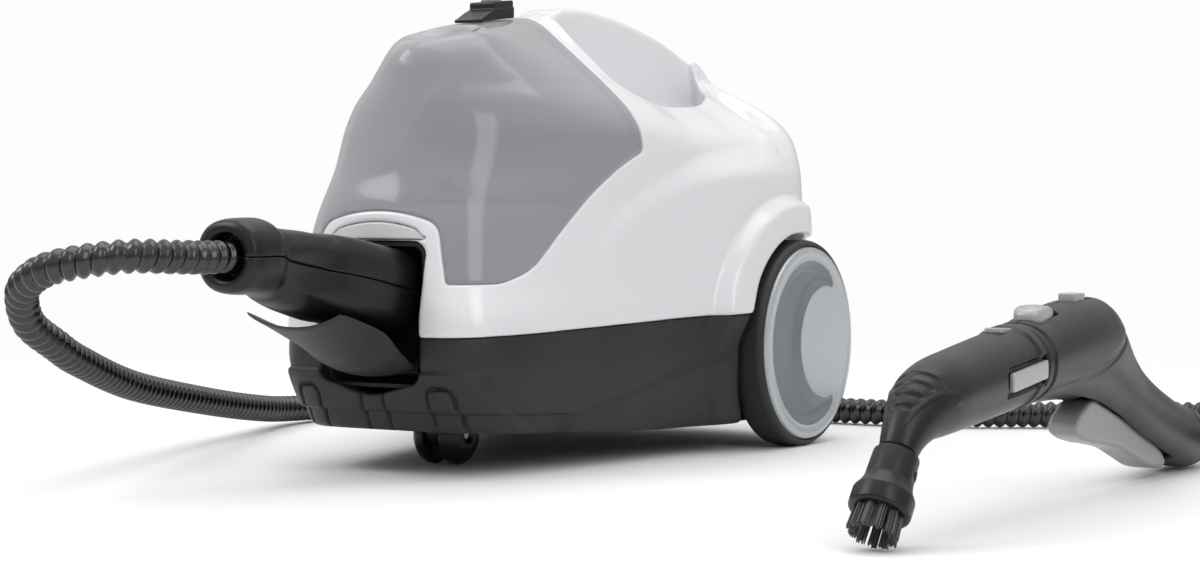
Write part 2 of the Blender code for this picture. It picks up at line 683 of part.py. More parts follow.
ELEMENT_R, ELEMENT_Z = 33, 27.2
element_angles = np.linspace(math.radians(-70), math.radians(250), 17)
tube("heating_element",
     [(BOILER_X + ELEMENT_R * math.cos(angle), BOILER_Y + ELEMENT_R * math.sin(angle), ELEMENT_Z)
      for angle in element_angles],
     4.0, BRIGHT_STEEL)
turned("safety_valve",
       [(0, 163), (5, 163), (5, 152), (9, 152), (9, 143), (12.5, 143), (12.5, 137),
        (15.2, 137), (15.2, 132.2), (0, 132.2)],
       boiler_frame, 14, BRIGHT_BRASS)
turned("boiler_thermostat",
       [(0, 146), (7, 146), (7, 138.2), (9.5, 138.2), (9.5, 136.6), (0, 136.6)],
       shift(BOILER_X + 26.5, BOILER_Y - 6, 0), 12, Look(GREY, roughness=0.5))

# ---------------------------------------------------------------- pump, valves, board, pipes
box("solenoid_valve", (18, -168, 96), (42, -140, 124), BLACK_PLASTIC)
turned("water_pump", [(0, 34), (14, 34), (19, 30), (19, -28), (8, -34), (0, -34)],
       shift(-40, -158, 62) @ AXIS_FRAME["Y"], 16, Look(GREY, roughness=0.45))
plate("pump_mount", [[(-61, 26), (-19, 26), (-19, 58), (-20.6, 58), (-20.6, 29),
                      (-59.4, 29), (-59.4, 58), (-61, 58)]], "Y", (-172, -146), BLACK_RUBBER)
box("control_board", (-52, 30.0, 26), (52, 31.8, 84), CIRCUIT_BOARD)
turned("tank_dock_valve", [(12.5, 149.0), (12.5, 146.4), (6.0, 146.4), (6.0, 149.0)],
       shift(0, TANK_VALVE_Y, 0), 16, BLACK_PLASTIC, ring=True)

# name, radius, look, route points
PIPES = (
    ("suction_hose", 4.0, INNER_HOSE,
     [(0, -190, 136.5), (-14, -186, 118), (-38, -184, 100), (-52, -176, 92),
      (-50, -160, 90), (-42, -152, 86)]),
    ("feed_hose", 3.2, INNER_HOSE,
     [(-40, -121, 62), (-40, -114, 70), (-38, -110, 96), (-30, -96, 128),
      (-22, -78, 143), (-15, -62, 143.4)]),
    ("steam_pipe", 3.2, BRIGHT_STEEL,
     [(14, -51, 148), (20, -66, 152), (28, -90, 150), (30, -116, 134), (30, -137, 112)]),
)
for name, radius, look, route in PIPES:
    tube(name, smooth_path(route, 3), radius, look)

# ---------------------------------------------------------------- mains cable store at the back
GLAND_X, GLAND_Z = 40, HATCH_Z - 22
cable_tray = plate("cable_tray", [inset_opening(HATCH, 0.9, 7.6),
                                  inset_opening(HATCH, 5, 5.6)],
                   "Y", (41.5, 62), Look(CHARCOAL, roughness=0.6))
tray_back = plate("tray_back", [inset_opening(HATCH, 2, 7),
                                rounded(GLAND_X, GLAND_Z, 9, 9, 3)], "Y", (38.5, 41.6))
cut(cable_tray, tray_back, operation="UNION")

# coiled cable: an oval helix about Y
COIL_TURNS, COIL_STEPS = 3, 16
COIL_X, COIL_START_Y = -12, 46.0
COIL_HALF_WIDTH, COIL_HALF_HEIGHT = 31.05, 26.46
COIL_PITCH = 5.72
coil = []
for i in range(COIL_TURNS * COIL_STEPS + 1):
    angle = math.tau * i / COIL_STEPS
    coil.append((COIL_X + COIL_HALF_WIDTH * math.cos(angle),
                 COIL_START_Y + COIL_PITCH * i / COIL_STEPS,
                 HATCH_Z + COIL_HALF_HEIGHT * math.sin(angle)))
tube("mains_cable", coil, 2.5, BLACK_PLASTIC)
plate("mains_plug", [rounded(36, HATCH_Z + 14, 22, 30, 8)], "Y", (45, 59), BLACK_SATIN)
turned("cable_gland", [(0, 46.0), (6.5, 46.0), (6.5, 42.2), (3.9, 42.2), (3.9, 35), (0, 35)],
       shift(GLAND_X, 0, GLAND_Z) @ TO_BACK, 12, BLACK_ROUGH)

cable_cover = skin("cable_cover", body, *MEDIUM, look=GLOSS_WHITE)
cover_body = plate("cover_body", [inset_opening(HATCH, 1.2, 7.4)], "Y", (63.0, BEHIND))
cut(cable_cover, cover_body, operation="INTERSECT")
cover_hollow = skin("cover_hollow", cover_inside, *MEDIUM)
hollow_window = plate("hollow_window", [inset_opening(HATCH, 7, 5)], "Y", (50, BEHIND))
cut(cover_hollow, hollow_window, operation="INTERSECT")
cut(cable_cover, cover_hollow)

# ---------------------------------------------------------------- water tank
tank_shell = skin("tank_shell", body, *FINE, look=Look(SMOKE, roughness=0.1, alpha=0.5))
tank_inner = skin("tank_inner", inset_body(2.6), *FINE)
behind_tank = box("behind_tank", (-190, TANK_BACK - 3.2, -120), (190, FAR_BACK, 330))
cut(tank_inner, behind_tank)
cut(tank_shell, tank_zone_in, operation="INTERSECT")
cut(tank_shell, fascia_arch_wide, tank_inner)

FLOOR_BACK = TANK_BACK - 3.8
tank_floor = skin("tank_floor", inset_body(3.4), *FINE,
                  look=Look(SMOKE, roughness=0.15, alpha=0.5))
floor_slab = plate("floor_slab", [[
    (-300, 149.4), (-184, 149.4), (-172, 157.2), (-150, 169.8), (FLOOR_BACK, 178.2),
    (FLOOR_BACK, 181.2), (-151, 172.6), (-173, 160), (-185, 152.2), (-300, 152.2),
]], "X", (-150, 150))
cut(tank_floor, floor_slab, operation="INTERSECT")
valve_hole = plate("valve_hole", [circle(0, TANK_VALVE_Y, 8.0, 16)], "Z", (140, 160))
cut(tank_floor, valve_hole)
turned("tank_valve",
       [(0, 160), (5, 160), (5, 155), (11, 155), (11, 152.6), (7.5, 152.6),
        (7.5, 150.2), (0, 150.2)],
       shift(0, TANK_VALVE_Y, 0), 14, BLACK_PLASTIC)
tube("tank_vent_pipe", [(40, -138, 184.5), (40, -138, 200), (40, -138, 217)], 2.0,
     Look(SMOKE, roughness=0.2), resolution=2)

# upper side of the grip: y, height above the roof line
GRIP_UPPER = ((-182, 2.4), (-168, 5.8), (-166, 9.4), (-149, 10.8), (-147, 9.4))
GRIP_LOWER_Y = (-147, -156, -165, -174, -182)


def grip_base(y):
    return float(ridge(y)) + 0.5


grip_outline = ([(y, grip_base(y) + height) for y, height in GRIP_UPPER]
                + [(y, grip_base(y)) for y in GRIP_LOWER_Y])
tank_grip = plate("tank_grip", [grip_outline], "X", (-9.5, 9.5), Look(BLACK, roughness=0.35))
grip_top = grip_base(-157) + 10.2
button_pocket = plate("button_pocket", [rounded(0, LATCH_Y, 9.8, 11.8, 2.5)], "Z",
                      (grip_top - 4.2, grip_top + 20))
cut(tank_grip, button_pocket)
plate("tank_latch_button", [rounded(0, LATCH_Y, 9.0, 11.0, 2.2)], "Z",
      (grip_top - 1.0, grip_top + 1.2), Look(GREY, roughness=0.4))

# ---------------------------------------------------------------- rear wheels
# radius, distance from the middle of the machine
TYRE = [(58.3, 125.0), (60.4, 125.0), (WHEEL_R, 123.0), (WHEEL_R, 106.0), (59.5, WHEEL_IN),
        (52, WHEEL_IN), (50.5, 105), (50.5, 120.6), (58.3, 120.6)]
RIM = [(5.3, 120.6), (50.0, 120.6), (50.0, 108), (44, 108), (42, 116), (15, 116),
       (13, 101.5), (5.3, 101.5)]
WHEEL_CAP = [(0, WHEEL_OUT), (40, 126.9), (54, 126.4), (57.9, 124.6), (57.9, 121.0),
             (0, 121.0)]
AXLE = [(0, 120.4), (AXLE_R, 120.4), (AXLE_R, 101.0), (9, 101.0), (9, 99.0), (0, 99.0)]


def arc(middle_y, radius, start, end, count):
    """arc at axle height in (y, z), angles in degrees"""
    return [(middle_y + radius * math.cos(angle), radius * math.sin(angle) + WHEEL_R)
            for angle in np.linspace(math.radians(start), math.radians(end), count)]


# crescent-shaped hollow in the outer face of the cap
CRESCENT = arc(0, 48.0, 42, 318, 17) + arc(27, 33.0, 255, 105, 11)

for side, tag in SIDES:
    hub = shift(0, 0, WHEEL_R) @ outward(side)
    turned("tyre_" + tag, TYRE, hub, 32, BLACK_RUBBER, ring=True)
    turned("rim_" + tag, RIM, hub, 24, BLACK_PLASTIC, ring=True)
    cap = turned("wheel_cap_" + tag, WHEEL_CAP, hub, 32, Look(SILVER, roughness=0.35))
    cut(cap, plate("crescent_" + tag, [CRESCENT], "X", (side * 123.6, side * 140)))
    turned("axle_" + tag, AXLE, hub, 16, BRIGHT_STEEL)

# ---------------------------------------------------------------- front caster
fork_outline = [
    (CASTER_AXLE_Y - 10, 12.0), (CASTER_AXLE_Y + 9, 12.0), (CASTER_AXLE_Y + 12, 20),
    (CASTER_AXLE_Y + 8, 30), (CASTER_AXLE_Y, 35.6), (CASTER_Y + 6, 37.6),
    (CASTER_Y - 10, 37.6), (CASTER_Y - 13, 33), (CASTER_AXLE_Y - 14, 24),
]
caster_fork = plate("caster_fork", [fork_outline, circle(CASTER_AXLE_Y, CASTER_R, 2.5, 12)],
                    "X", (-4.6, 4.6), BLACK_PLASTIC)
caster_stem = turned("caster_stem",
                     [(0, 46.2), (5.0, 46.2), (5.0, 37.0), (11.5, 37.0), (11.5, 34.4),
                      (0, 34.4)],
                     shift(0, CASTER_Y, 0), 16)
cut(caster_fork, caster_stem, operation="UNION")

CASTER_WHEEL = [(2.6, 14.0), (7, 15.4), (12, 14.2), (15.6, 11.2), (CASTER_R, 8.4),
                (CASTER_R, 5.6), (15.6, 5.0), (2.6, 5.0)]
caster_centre = shift(0, CASTER_AXLE_Y, CASTER_R)
turned("caster_axle", [(0, 13.5), (2.2, 13.5), (2.2, -13.5), (0, -13.5)],
       caster_centre @ AXIS_FRAME["X"], 10, BRIGHT_STEEL)
for side, tag in SIDES:
    turned("caster_wheel_" + tag, CASTER_WHEEL, caster_centre @ outward(side), 20,
           Look(BLACK, roughness=0.4), ring=True)

# ---------------------------------------------------------------- steam plug
HALF_SPLIT = 0.15             # each half shell stays this far from the parting plane
# y, height of the parting plane, half width, half height
PLUG = (
    (-398.5, 119.5, 16.5, 16.2), (-395, 120, 19.0, 18.4), (-378, 120, 20.2, 19.4),
    (-372, 119.2, 19.2, 18.6), (-366, 117.5, 17.4, 17.4), (-345, 114, 18.4, 18.6),
    (-320, 109.5, 21.2, 20.6), (-300, 106, 23.4, 22.0), (-283, 102.4, 24.6, 22.4),
    (-268, 100.2, 25.0, 22.2), (-262, 100, 24, 21.2),
)
# extra depth of the lower half: y, depth
PLUG_BELLY = ((-378, -366, -345, -320, -300, -268), (0, 4, 6, 4.5, 2, 0))


def squared(value, power):
    """sine or cosine reshaped for a superellipse"""
    return math.copysign(abs(value) ** (2 / power), value)


def plug_section(y, split, half_width, half_height, up):
    points = []
    for i in range(9):
        angle = math.pi * i / 8
        height = HALF_SPLIT + (half_height - HALF_SPLIT) * squared(math.sin(angle), 2.6)
        points.append((half_width * squared(math.cos(angle), 2.6), y, split + up * height))
    return points


loft("plug_upper", [plug_section(*row, 1) for row in PLUG], BLACK_SATIN)
loft("plug_lower",
     [plug_section(y, split, half_width, half_height + float(np.interp(y, *PLUG_BELLY)), -1)
      for y, split, half_width, half_height in PLUG],
     BLACK_SATIN)
turned("plug_nozzle", [(2.4, 0), (2.4, 42.5), (4.2, 42.5), (5.2, 41), (5.2, 0)],
       shift(0, -261.7, SOCKET_Z) @ TO_BACK, 14, BRIGHT_BRASS, ring=True)

# ---------------------------------------------------------------- hose
# route from the plug to the gun; the two end spans stay straight
HOSE = [
    (0, -398.9, 120), (0, -406, 120), (0, -416, 120), (-1.5, -432, 120.5),
    (-13.5, -457.5, 121), (-44, -471, 116), (-66, -467, 108), (-79, -457, 99),
    (-89, -441, 86), (-98, -413, 74), (-110, -383, 64), (-144, -303, 45),
    (-184, -196, 28), (-215, -105, 15.8), (-234, -41, 10.2), (-230, 40, 8.9),
    (-200, 110, 8.8), (-140, 152, 8.7), (-70, 166, 8.7), (0, 160, 8.7), (84, 148, 8.7),
    (150, 158, 8.7), (215, 192, 8.7), (300, 236, 8.7), (390, 226, 8.7), (440, 160, 8.7),
    (428, 84, 10), (378, 40, 13), (GUN_X, 16, 15.0), (GUN_X, 7.5, 15.0),
]
tube("steam_hose", HOSE[:1] + smooth_path(HOSE[1:-1], 4) + HOSE[-1:], HOSE_R,
     Look(BLACK, roughness=0.3))

# ---------------------------------------------------------------- hand gun
# y, bottom, top, half width
GUN = (
    (-247.5, 51.5, 89.5, 18.8), (-242, 50.5, 91, 20), (-225, 51, 94, 20.2),
    (-203, 50.5, 97, 20.5), (-180, 48, 99, 20.5), (-160, 45, 99.5, 20),
    (-142, 39, 96, 19), (-127, 33.5, 86, 18), (-105, 25.5, 70.5, 17.5),
    (-82, 18, 60, 17.5), (-60, 11, 50.5, 17.5), (-40, 5, 43, 17.5),
    (-20, 1.2, 36, 17), (-4, 0.4, 31, 15.5), (7, 3.5, 26, 11),
)
# trigger and its slot, (y, z)
TRIGGER = [
    (-166, 46), (-150, 41), (-133, 36), (-110, 29.5), (-89, 23), (-66, 14.5), (-57, 9.5),
    (-55.5, 6.5), (-60, 4.6), (-77, 6.4), (-104, 14), (-126, 20.5), (-147, 24), (-168, 27),
    (-186, 32), (-189, 35), (-184, 38.4), (-176, 41),
]
TRIGGER_SLOT = [
    (-194, 30), (-194, 46), (-183, 53.5), (-163, 57.5), (-133, 46), (-110, 37.5),
    (-89, 29.5), (-66, 19), (-50, 12.5), (-50, 2.0), (-66, 0), (-120, -6), (-194, -6),
]


def gun_section(y, bottom, top, half_width, side):
    middle, half_height = (bottom + top) / 2, (top - bottom) / 2
    points = []
    for i in range(9):
        angle = -math.pi / 2 + math.pi * i / 8
        width = HALF_SPLIT + (half_width - HALF_SPLIT) * squared(math.cos(angle), 2.3)
        points.append((GUN_X + side * width, y,
                       middle + half_height * squared(math.sin(angle), 2.3)))
    return points


def gun_top(y):
    return float(np.interp(y, [row[0] for row in GUN], [row[2] for row in GUN]))


gun_halves = [loft("gun_" + tag, [gun_section(*row, side) for row in GUN], BLACK_SATIN)
              for side, tag in SIDES]


def cut_gun(cutter):
    for half in gun_halves:
        cut(half, cutter)


plate("trigger", [TRIGGER], "X", (GUN_X - 8, GUN_X + 8), GREY_BUTTON)
cut_gun(plate("trigger_slot", [TRIGGER_SLOT], "X", (GUN_X - 8.8, GUN_X + 8.8)))


def gun_button(name, y, width, length, rise, depth, end_room):
    """button in the top of the gun, in a pocket with room at its ends"""
    top = gun_top(y)
    pocket = rounded(GUN_X, y, width + 1.0, length + 2 * end_room, 2.0)
    cut_gun(plate(name + "_pocket", [pocket], "Z", (top - depth - 3.2, top + 30)))
    plate(name, [rounded(GUN_X, y, width, length, 1.8)], "Z",
          (top - depth + 0.4, top + rise), GREY_BUTTON)


gun_button("unlock_button", UNLOCK_Y, width=16, length=24, rise=4.5, depth=5.0, end_room=0.5)
gun_button("steam_selector", SELECTOR_Y, width=10, length=14, rise=5.0, depth=3.5,
           end_room=5.0)

# ---------------------------------------------------------------- spot nozzle and brush
# y, z, radius
NOZZLE = (
    (-247.9, 70.3, 19.0), (-252, 70, 20.4), (-258, 69.5, 20.4), (-262, 69.3, 19.2),
    (-294, 66.2, 18.8), (-322, 63.4, 18.4), (-340, 61.6, 18.0), (-354, 59.4, 16.6),
    (-364, 56.0, 14.4), (-373, 51.0, 11.6), (-379, 45.8, 9.6), (-384.5, 39.4, 8.4),
    (-385.1, 38.6, 7.3), (-392.0, 30.0, 7.3),
)
UPRIGHT_RINGS = 4             # rings at the gun end that face straight ahead
NOZZLE_SIDES = 16


def nozzle_ring(index):
    """ring square to the nozzle's bent centre line"""
    y, z, radius = NOZZLE[index]
    normal = Vector((0, -1, 0))
    if index >= UPRIGHT_RINGS:
        before = NOZZLE[index - 1]
        after = NOZZLE[min(index + 1, len(NOZZLE) - 1)]
        normal = Vector((0, after[0] - before[0], after[1] - before[1])).normalized()
    upward = normal.cross(Vector((1, 0, 0)))
    angles = [math.tau * i / NOZZLE_SIDES for i in range(NOZZLE_SIDES)]
    return [(GUN_X + radius * math.cos(angle), y + radius * math.sin(angle) * upward.y,
             z + radius * math.sin(angle) * upward.z) for angle in angles]


# (y, z)
BAR_SLOT = [(-240, 64.2), (-240, 76.2), (-278, 73.2), (-280, 71), (-280, 63), (-278, 61)]
LOCK_BAR = [(-248.3, 66.2), (-248.3, 74.2), (-273, 71.8), (-275, 70), (-275, 66.2),
            (-273, 64.4)]
spot_nozzle = loft("spot_nozzle", [nozzle_ring(i) for i in range(len(NOZZLE))], BLACK_SATIN)
for side, tag in SIDES:
    cut(spot_nozzle, plate("bar_slot_" + tag, [BAR_SLOT], "X",
                           (GUN_X + side * 17.2, GUN_X + side * 30)))
    plate("lock_bar_" + tag, [LOCK_BAR], "X",
          (GUN_X + side * 17.6, GUN_X + side * 20.6), GREY_BUTTON)

brush_turn = Vector((0, 0.6247, 0.7809)).to_track_quat("Z", "Y").to_matrix().to_4x4()
turned("round_brush",
       [(0, 22), (7.9, 22), (7.9, 38.6), (10.4, 38.6), (10.8, 24), (13.8, 18), (13.8, 7),
        (11.5, 6), (11.0, -1.0), (0, -1.0)],
       shift(GUN_X, BRUSH_Y, BRUSH_Z) @ brush_turn, 18, BLACK_ROUGH)

# ---------------------------------------------------------------- apply the cuts
for target, cutter, operation in PENDING:
    boolean = target.modifiers.new(operation.lower(), "BOOLEAN")
    boolean.operation = operation
    boolean.solver = "EXACT"
    boolean.object = cutter
for piece in MODEL.objects:
    if piece.type == "MESH":
        piece.data.shade_smooth()
        piece.data.set_sharp_from_angle(angle=math.radians(35))


# ---------------------------------------------------------------- joints and the row frame
def pivot(name, place, pieces, parent=None):
    """empty on a joint's axis, carrying the pieces that move about it"""
    empty = bpy.data.objects.new(name, None)
    MODEL.objects.link(empty)
    empty.location = Vector(place) * MM
    for piece in pieces:
        child = bpy.data.objects[piece]
        child.parent = empty
        child.matrix_parent_inverse = Matrix.Translation(empty.location).inverted()
    if parent:
        empty.parent = parent
        empty.matrix_parent_inverse = Matrix.Translation(parent.location).inverted()
    return empty


for _, tag in SIDES:
    pivot(f"wheel_{tag}_pivot", (0, 0, WHEEL_R),
          ["tyre_" + tag, "rim_" + tag, "wheel_cap_" + tag])
swivel = pivot("caster_pivot", (0, CASTER_Y, CASTER_R), ["caster_fork", "caster_axle"])
pivot("caster_wheel_pivot", (0, CASTER_AXLE_Y, CASTER_R),
      ["caster_wheel_left", "caster_wheel_right"], swivel)
pivot("flap_pivot", (0, *FLAP_HINGE), ["socket_flap"])
pivot("cover_pivot", (0, *COVER_HINGE), ["cable_cover"])
tank = pivot("tank_slide", (0, -200, 150),
             ["tank_shell", "tank_floor", "tank_valve", "tank_vent_pipe", "tank_grip"])
pivot("latch_slide", (0, LATCH_Y, grip_top), ["tank_latch_button"], tank)
gun = pivot("plug_slide", (0, PLUG_Y, SOCKET_Z),
            ["plug_upper", "plug_lower", "plug_nozzle", "steam_hose", "gun_left", "gun_right"])
pivot("trigger_pivot", (GUN_X, *TRIGGER_PIN), ["trigger"], gun)
pivot("unlock_slide", (GUN_X, UNLOCK_Y, gun_top(UNLOCK_Y)), ["unlock_button"], gun)
pivot("selector_slide", (GUN_X, SELECTOR_Y, gun_top(SELECTOR_Y)), ["steam_selector"], gun)
nozzle = pivot("nozzle_slide", (GUN_X, -248, 70),
               ["spot_nozzle", "lock_bar_left", "lock_bar_right"], gun)
pivot("brush_pivot", (GUN_X, BRUSH_Y, BRUSH_Z), ["round_brush"], nozzle)

row_frame = bpy.data.objects.new("row_frame", None)
MODEL.objects.link(row_frame)
row_frame.location = (0, 0, -FLOOR_Z * MM)
for piece in list(MODEL.objects) + list(CUTTERS.objects):
    if piece.parent is None and piece is not row_frame:
        piece.parent = row_frame
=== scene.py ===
"""Steam cleaner: a wheeled machine with a smoked tank on its nose, a corrugated hose on the
floor round it, and a hand gun with a nozzle and round brush lying beside it.

Shapes are drawn in millimetres above the floor. -Y is the front, +X the side called left,
and the rear wheels' axle stands over y = 0. Points are shifted down by DROP and scaled to
metres as they enter a mesh.

Most solids are fields: functions of x, y, z that are negative inside and zero on the skin.
meet, join and cut combine fields and round the edge between them."""
import math
import bpy
import bmesh
import numpy as np
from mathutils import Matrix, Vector


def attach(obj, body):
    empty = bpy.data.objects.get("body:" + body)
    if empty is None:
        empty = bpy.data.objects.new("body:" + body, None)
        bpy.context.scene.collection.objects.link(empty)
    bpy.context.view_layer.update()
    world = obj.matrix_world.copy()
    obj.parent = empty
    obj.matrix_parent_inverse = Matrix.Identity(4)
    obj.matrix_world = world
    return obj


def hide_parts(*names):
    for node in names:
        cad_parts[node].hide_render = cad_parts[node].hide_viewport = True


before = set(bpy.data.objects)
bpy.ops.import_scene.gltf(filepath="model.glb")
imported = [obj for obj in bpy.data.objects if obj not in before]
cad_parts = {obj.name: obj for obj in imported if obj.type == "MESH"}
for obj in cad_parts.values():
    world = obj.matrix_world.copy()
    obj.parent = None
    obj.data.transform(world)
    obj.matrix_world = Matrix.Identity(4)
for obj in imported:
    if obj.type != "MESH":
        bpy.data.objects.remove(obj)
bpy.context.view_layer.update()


DROP = 16.0             # height of the frame's origin above the floor

TANK_Y = -128.0         # rear plane of the tank; the nose curves round ahead of it
AXLE_Z = 62.0           # rear wheel centres, at y = 0
PIVOT_Y = -212.0        # upright caster pivot
ROLLER_Y = -204.0       # caster rollers
GRIP_Y = -157.5         # button block of the tank grip
PLUG_BORE_Z = 120.0     # hose bore at the plug's front end
GUN_X = 358.0           # centre plane of the hand gun
KEY_Y = -228.0          # unlock key on top of the gun
SLIDER_Y = -177.0       # steam slider on top of the gun

# Wall of the machine by height: half width, reach of the nose ahead of TANK_Y, power of the
# nose's superellipse, and narrowing of the half width per mm ahead of TANK_Y
WALL_Z = (14, 27, 65, 82, 103, 139, 165, 185, 200, 215, 234, 250, 270)
WALL_HALF = (82, 87, 94, 94, 91, 87, 85, 83, 77, 65, 48, 38, 30)
WALL_REACH = (134, 141, 151, 151, 148.5, 142, 132.5, 126.5, 122.5, 118.5, 114, 111, 108)
WALL_POWER = (5.0, 5.0, 5.6, 5.2, 4.2, 3.3, 2.7, 2.45, 2.25, 2.0, 1.85, 1.8, 1.8)
WALL_TAPER = (.13, .13, .13, .13, .125, .115, .11, .09, .06, .03, 0, 0, 0)

# Crown line along the machine: y, height
RIDGE_Y = (-250, -242, -214, -196, -175, -150, -128, -112, -97, -77, -45, -17, 14, 40, 58, 90)
RIDGE_Z = (231, 233.5, 240, 245, 249, 252, 254.5, 258.5, 263, 263.5, 261, 256.5, 249.5, 240,
           231, 218)

# Lower edge of the tank: y, height
SKIRT_Y = (-340, -252, -238, -226, -216, -206, -190, -172, -150, TANK_Y)
SKIRT_Z = (103, 103.4, 107, 112.5, 120.5, 129, 141.5, 154, 166.5, 176)


# ============================================================ curves and field operations
def curve(xs, ys, x):
    """Monotone cubic through the points (xs, ys), held at its end values."""
    xs = np.asarray(xs, float)
    ys = np.asarray(ys, float)
    gap = np.diff(xs)
    rise = np.diff(ys) / gap
    slope = np.zeros(len(xs))
    slope[0] = rise[0]
    slope[-1] = rise[-1]
    for i in range(1, len(xs) - 1):
        if rise[i - 1] * rise[i] > 0:
            before = 2 * gap[i] + gap[i - 1]
            after = gap[i] + 2 * gap[i - 1]
            slope[i] = (before + after) / (before / rise[i - 1] + after / rise[i])
    x = np.clip(x, xs[0], xs[-1])
    i = np.clip(np.searchsorted(xs, x, side="right") - 1, 0, len(gap) - 1)
    t = (x - xs[i]) / gap[i]
    return ((1 + 2 * t) * (1 - t) ** 2 * ys[i] + t * (1 - t) ** 2 * gap[i] * slope[i]
            + t * t * (3 - 2 * t) * ys[i + 1] + t * t * (t - 1) * gap[i] * slope[i + 1])


def meet(a, b, blend):
    """Smooth maximum: the part common to both solids."""
    h = np.clip(0.5 + 0.5 * (a - b) / blend, 0, 1)
    return b + (a - b) * h + blend * h * (1 - h)


def join(a, b, blend):
    return -meet(-a, -b, blend)


def cut(solid, tool, blend):
    return meet(solid, -tool, blend)


def ease(x):
    x = np.clip(x, 0, 1)
    return x * x * (3 - 2 * x)


def length(*parts):
    return np.sqrt(sum(part * part for part in parts))


def superellipse(u, v, power):
    return (u ** power + v ** power) ** (1 / power)


def rounded_box(u, v, mid_u, mid_v, width, height, radius):
    over_u = np.abs(u - mid_u) - (width / 2 - radius)
    over_v = np.abs(v - mid_v) - (height / 2 - radius)
    return (length(np.maximum(over_u, 0), np.maximum(over_v, 0))
            + np.minimum(np.maximum(over_u, over_v), 0) - radius)


# ============================================================ form of the machine
def wall(x, y, z, inset=0.0):
    half = curve(WALL_Z, WALL_HALF, z) - inset
    reach = curve(WALL_Z, WALL_REACH, z) - inset
    across = np.abs(x)
    ahead = np.maximum(TANK_Y - y, 0.0)
    tapered = np.maximum(half - curve(WALL_Z, WALL_TAPER, z) * ahead, 4.0)
    ratio = superellipse(across / tapered, ahead / reach, curve(WALL_Z, WALL_POWER, z))
    nose = (ratio - 1) * (length(x, ahead) + 1e-6) / np.maximum(ratio, 1e-3)
    # the flank widens by different amounts below and above a rising crease
    low = curve((-128, -112, -95, -75, -55, -30, 0, 40),
                (0, 3.2, 8.0, 15.5, 20.5, 23.5, 24.5, 22), y)
    high = curve((-128, -107, -73, -30, 26, 60), (0, 3, 7.5, 13.5, 15.5, 15), y)
    crease = curve((-192, -185, -167, -138, -107, -73, -30, 26, 60),
                   (96, 112, 136, 153, 165, 176, 183, 192, 196), y)
    band = curve((-190, -128, -60, 40), (12, 14, 18, 34), y)
    below = ease((crease - z) / band)
    swell = np.where(y < TANK_Y, 2.2 * ease((y + 196) / 50), 2.2 * ease((-y - 70) / 58))
    wheel_arch = ease((90 - length(y, z - AXLE_Z)) / 8)
    flank = (half + high + (low - high) * below
             + 6.5 * wheel_arch * ease((z - 58) / 26) + 2.0 * wheel_arch)
    front = np.where(y < TANK_Y, nose, across - flank) - swell * below
    # rear face, drawn forward toward the sides
    rear = curve((14, 40, 100, 140, 180, 235), (70, 82, 86, 78, 64, 54), z) - inset
    rear_bowed = rear - (rear - 30) * (np.minimum(across, 112) / 108.0) ** 3.2
    return meet(front, (y - rear_bowed) * 0.9, 14.0)


def ridge(y):
    return curve(RIDGE_Y, RIDGE_Z, y)


def gable(x, y, inset=0.0):
    """Height of the sloping roof sides."""
    ys = (-128, -100, -70, -30, 26, 60)
    slope = curve((-128, -100, -50, 0, 26, 60), (.82, .80, .70, .58, .48, .46), y)
    eaves_x = curve(ys, (82, 86, 91, 97, 98, 98), y)
    eaves_z = curve(ys, (196, 191, 184, 182, 189, 192), y)
    return eaves_z + slope * (eaves_x - np.abs(x)) - inset * 1.25


def body(x, y, z, inset=0.0):
    across = np.abs(x)
    roof = gable(x, y, inset)
    top = ridge(y) - inset
    crown_half = curve((-250, -200, -150, -128, -100, -50, 0, 30, 60),
                       (30, 30, 27, 20, 15, 14, 15, 19, 26), y)
    rim_x = curve((-128, -110, -80, -50, -20, 10, 45), (50, 55, 62, 62, 56, 45, 24), y)
    fall = np.clip((across - crown_half) / np.maximum(rim_x - crown_half, 4),
                   0, 1.6 + 6 * ease((y - 2) / 30))
    crown = top - (top - gable(rim_x, y, inset)) * fall
    behind = ease((y - TANK_Y) / 14)
    flank = crown * behind + roof * (1 - behind)
    surface = join(np.maximum(flank, roof), top - 0.02 * across, 7.0)
    return meet(wall(x, y, z, inset), (z - surface) * 0.72, 9.0)


def hand_recess(x, y, z):
    inner = 12.5 + (262 - z) * 0.13 - x
    power = np.where(y < -60, 4.2, 1.9)
    reach = np.where(y < -60, 57.0, 108.0)
    rim = (superellipse(np.abs(x) / 64.0, np.abs(y + 60) / reach, power) - 1) * 52.0
    return meet(meet(inner, rim, 8.0), 200.0 - z, 10.0)


def outer(x, y, z):
    """Body with the hand recesses and a slanted oval dent behind each."""
    solid = body(x, y, z)
    across = np.abs(x)
    dented = cut(solid, hand_recess(across, y, z), 3.2)
    turn = math.radians(-24)
    cos_turn, sin_turn = math.cos(turn), math.sin(turn)
    along = (across - 63) * cos_turn + (y - 27) * sin_turn
    beside = -(across - 63) * sin_turn + (y - 27) * cos_turn
    above = z - (226 - 0.47 * (across - 63))
    dented = cut(dented, (length(along / 40, beside / 17, above / 30) - 1) * 18.0, 3.2)
    return np.where((z > 170) & (y > TANK_Y), dented, solid)


def split_z(y):
    """Height of the seam between housing and base."""
    return 75.0 + (y + 280) * 0.032


def arch(x, z, gap=0.0):
    across = np.abs(x)
    side = across - (45.2 + gap - 6.7 * np.clip((z - 103) / 26.5, 0, 1.3))
    return meet(side, z - (142.3 + gap - 0.0052 * across * across), 6.0)


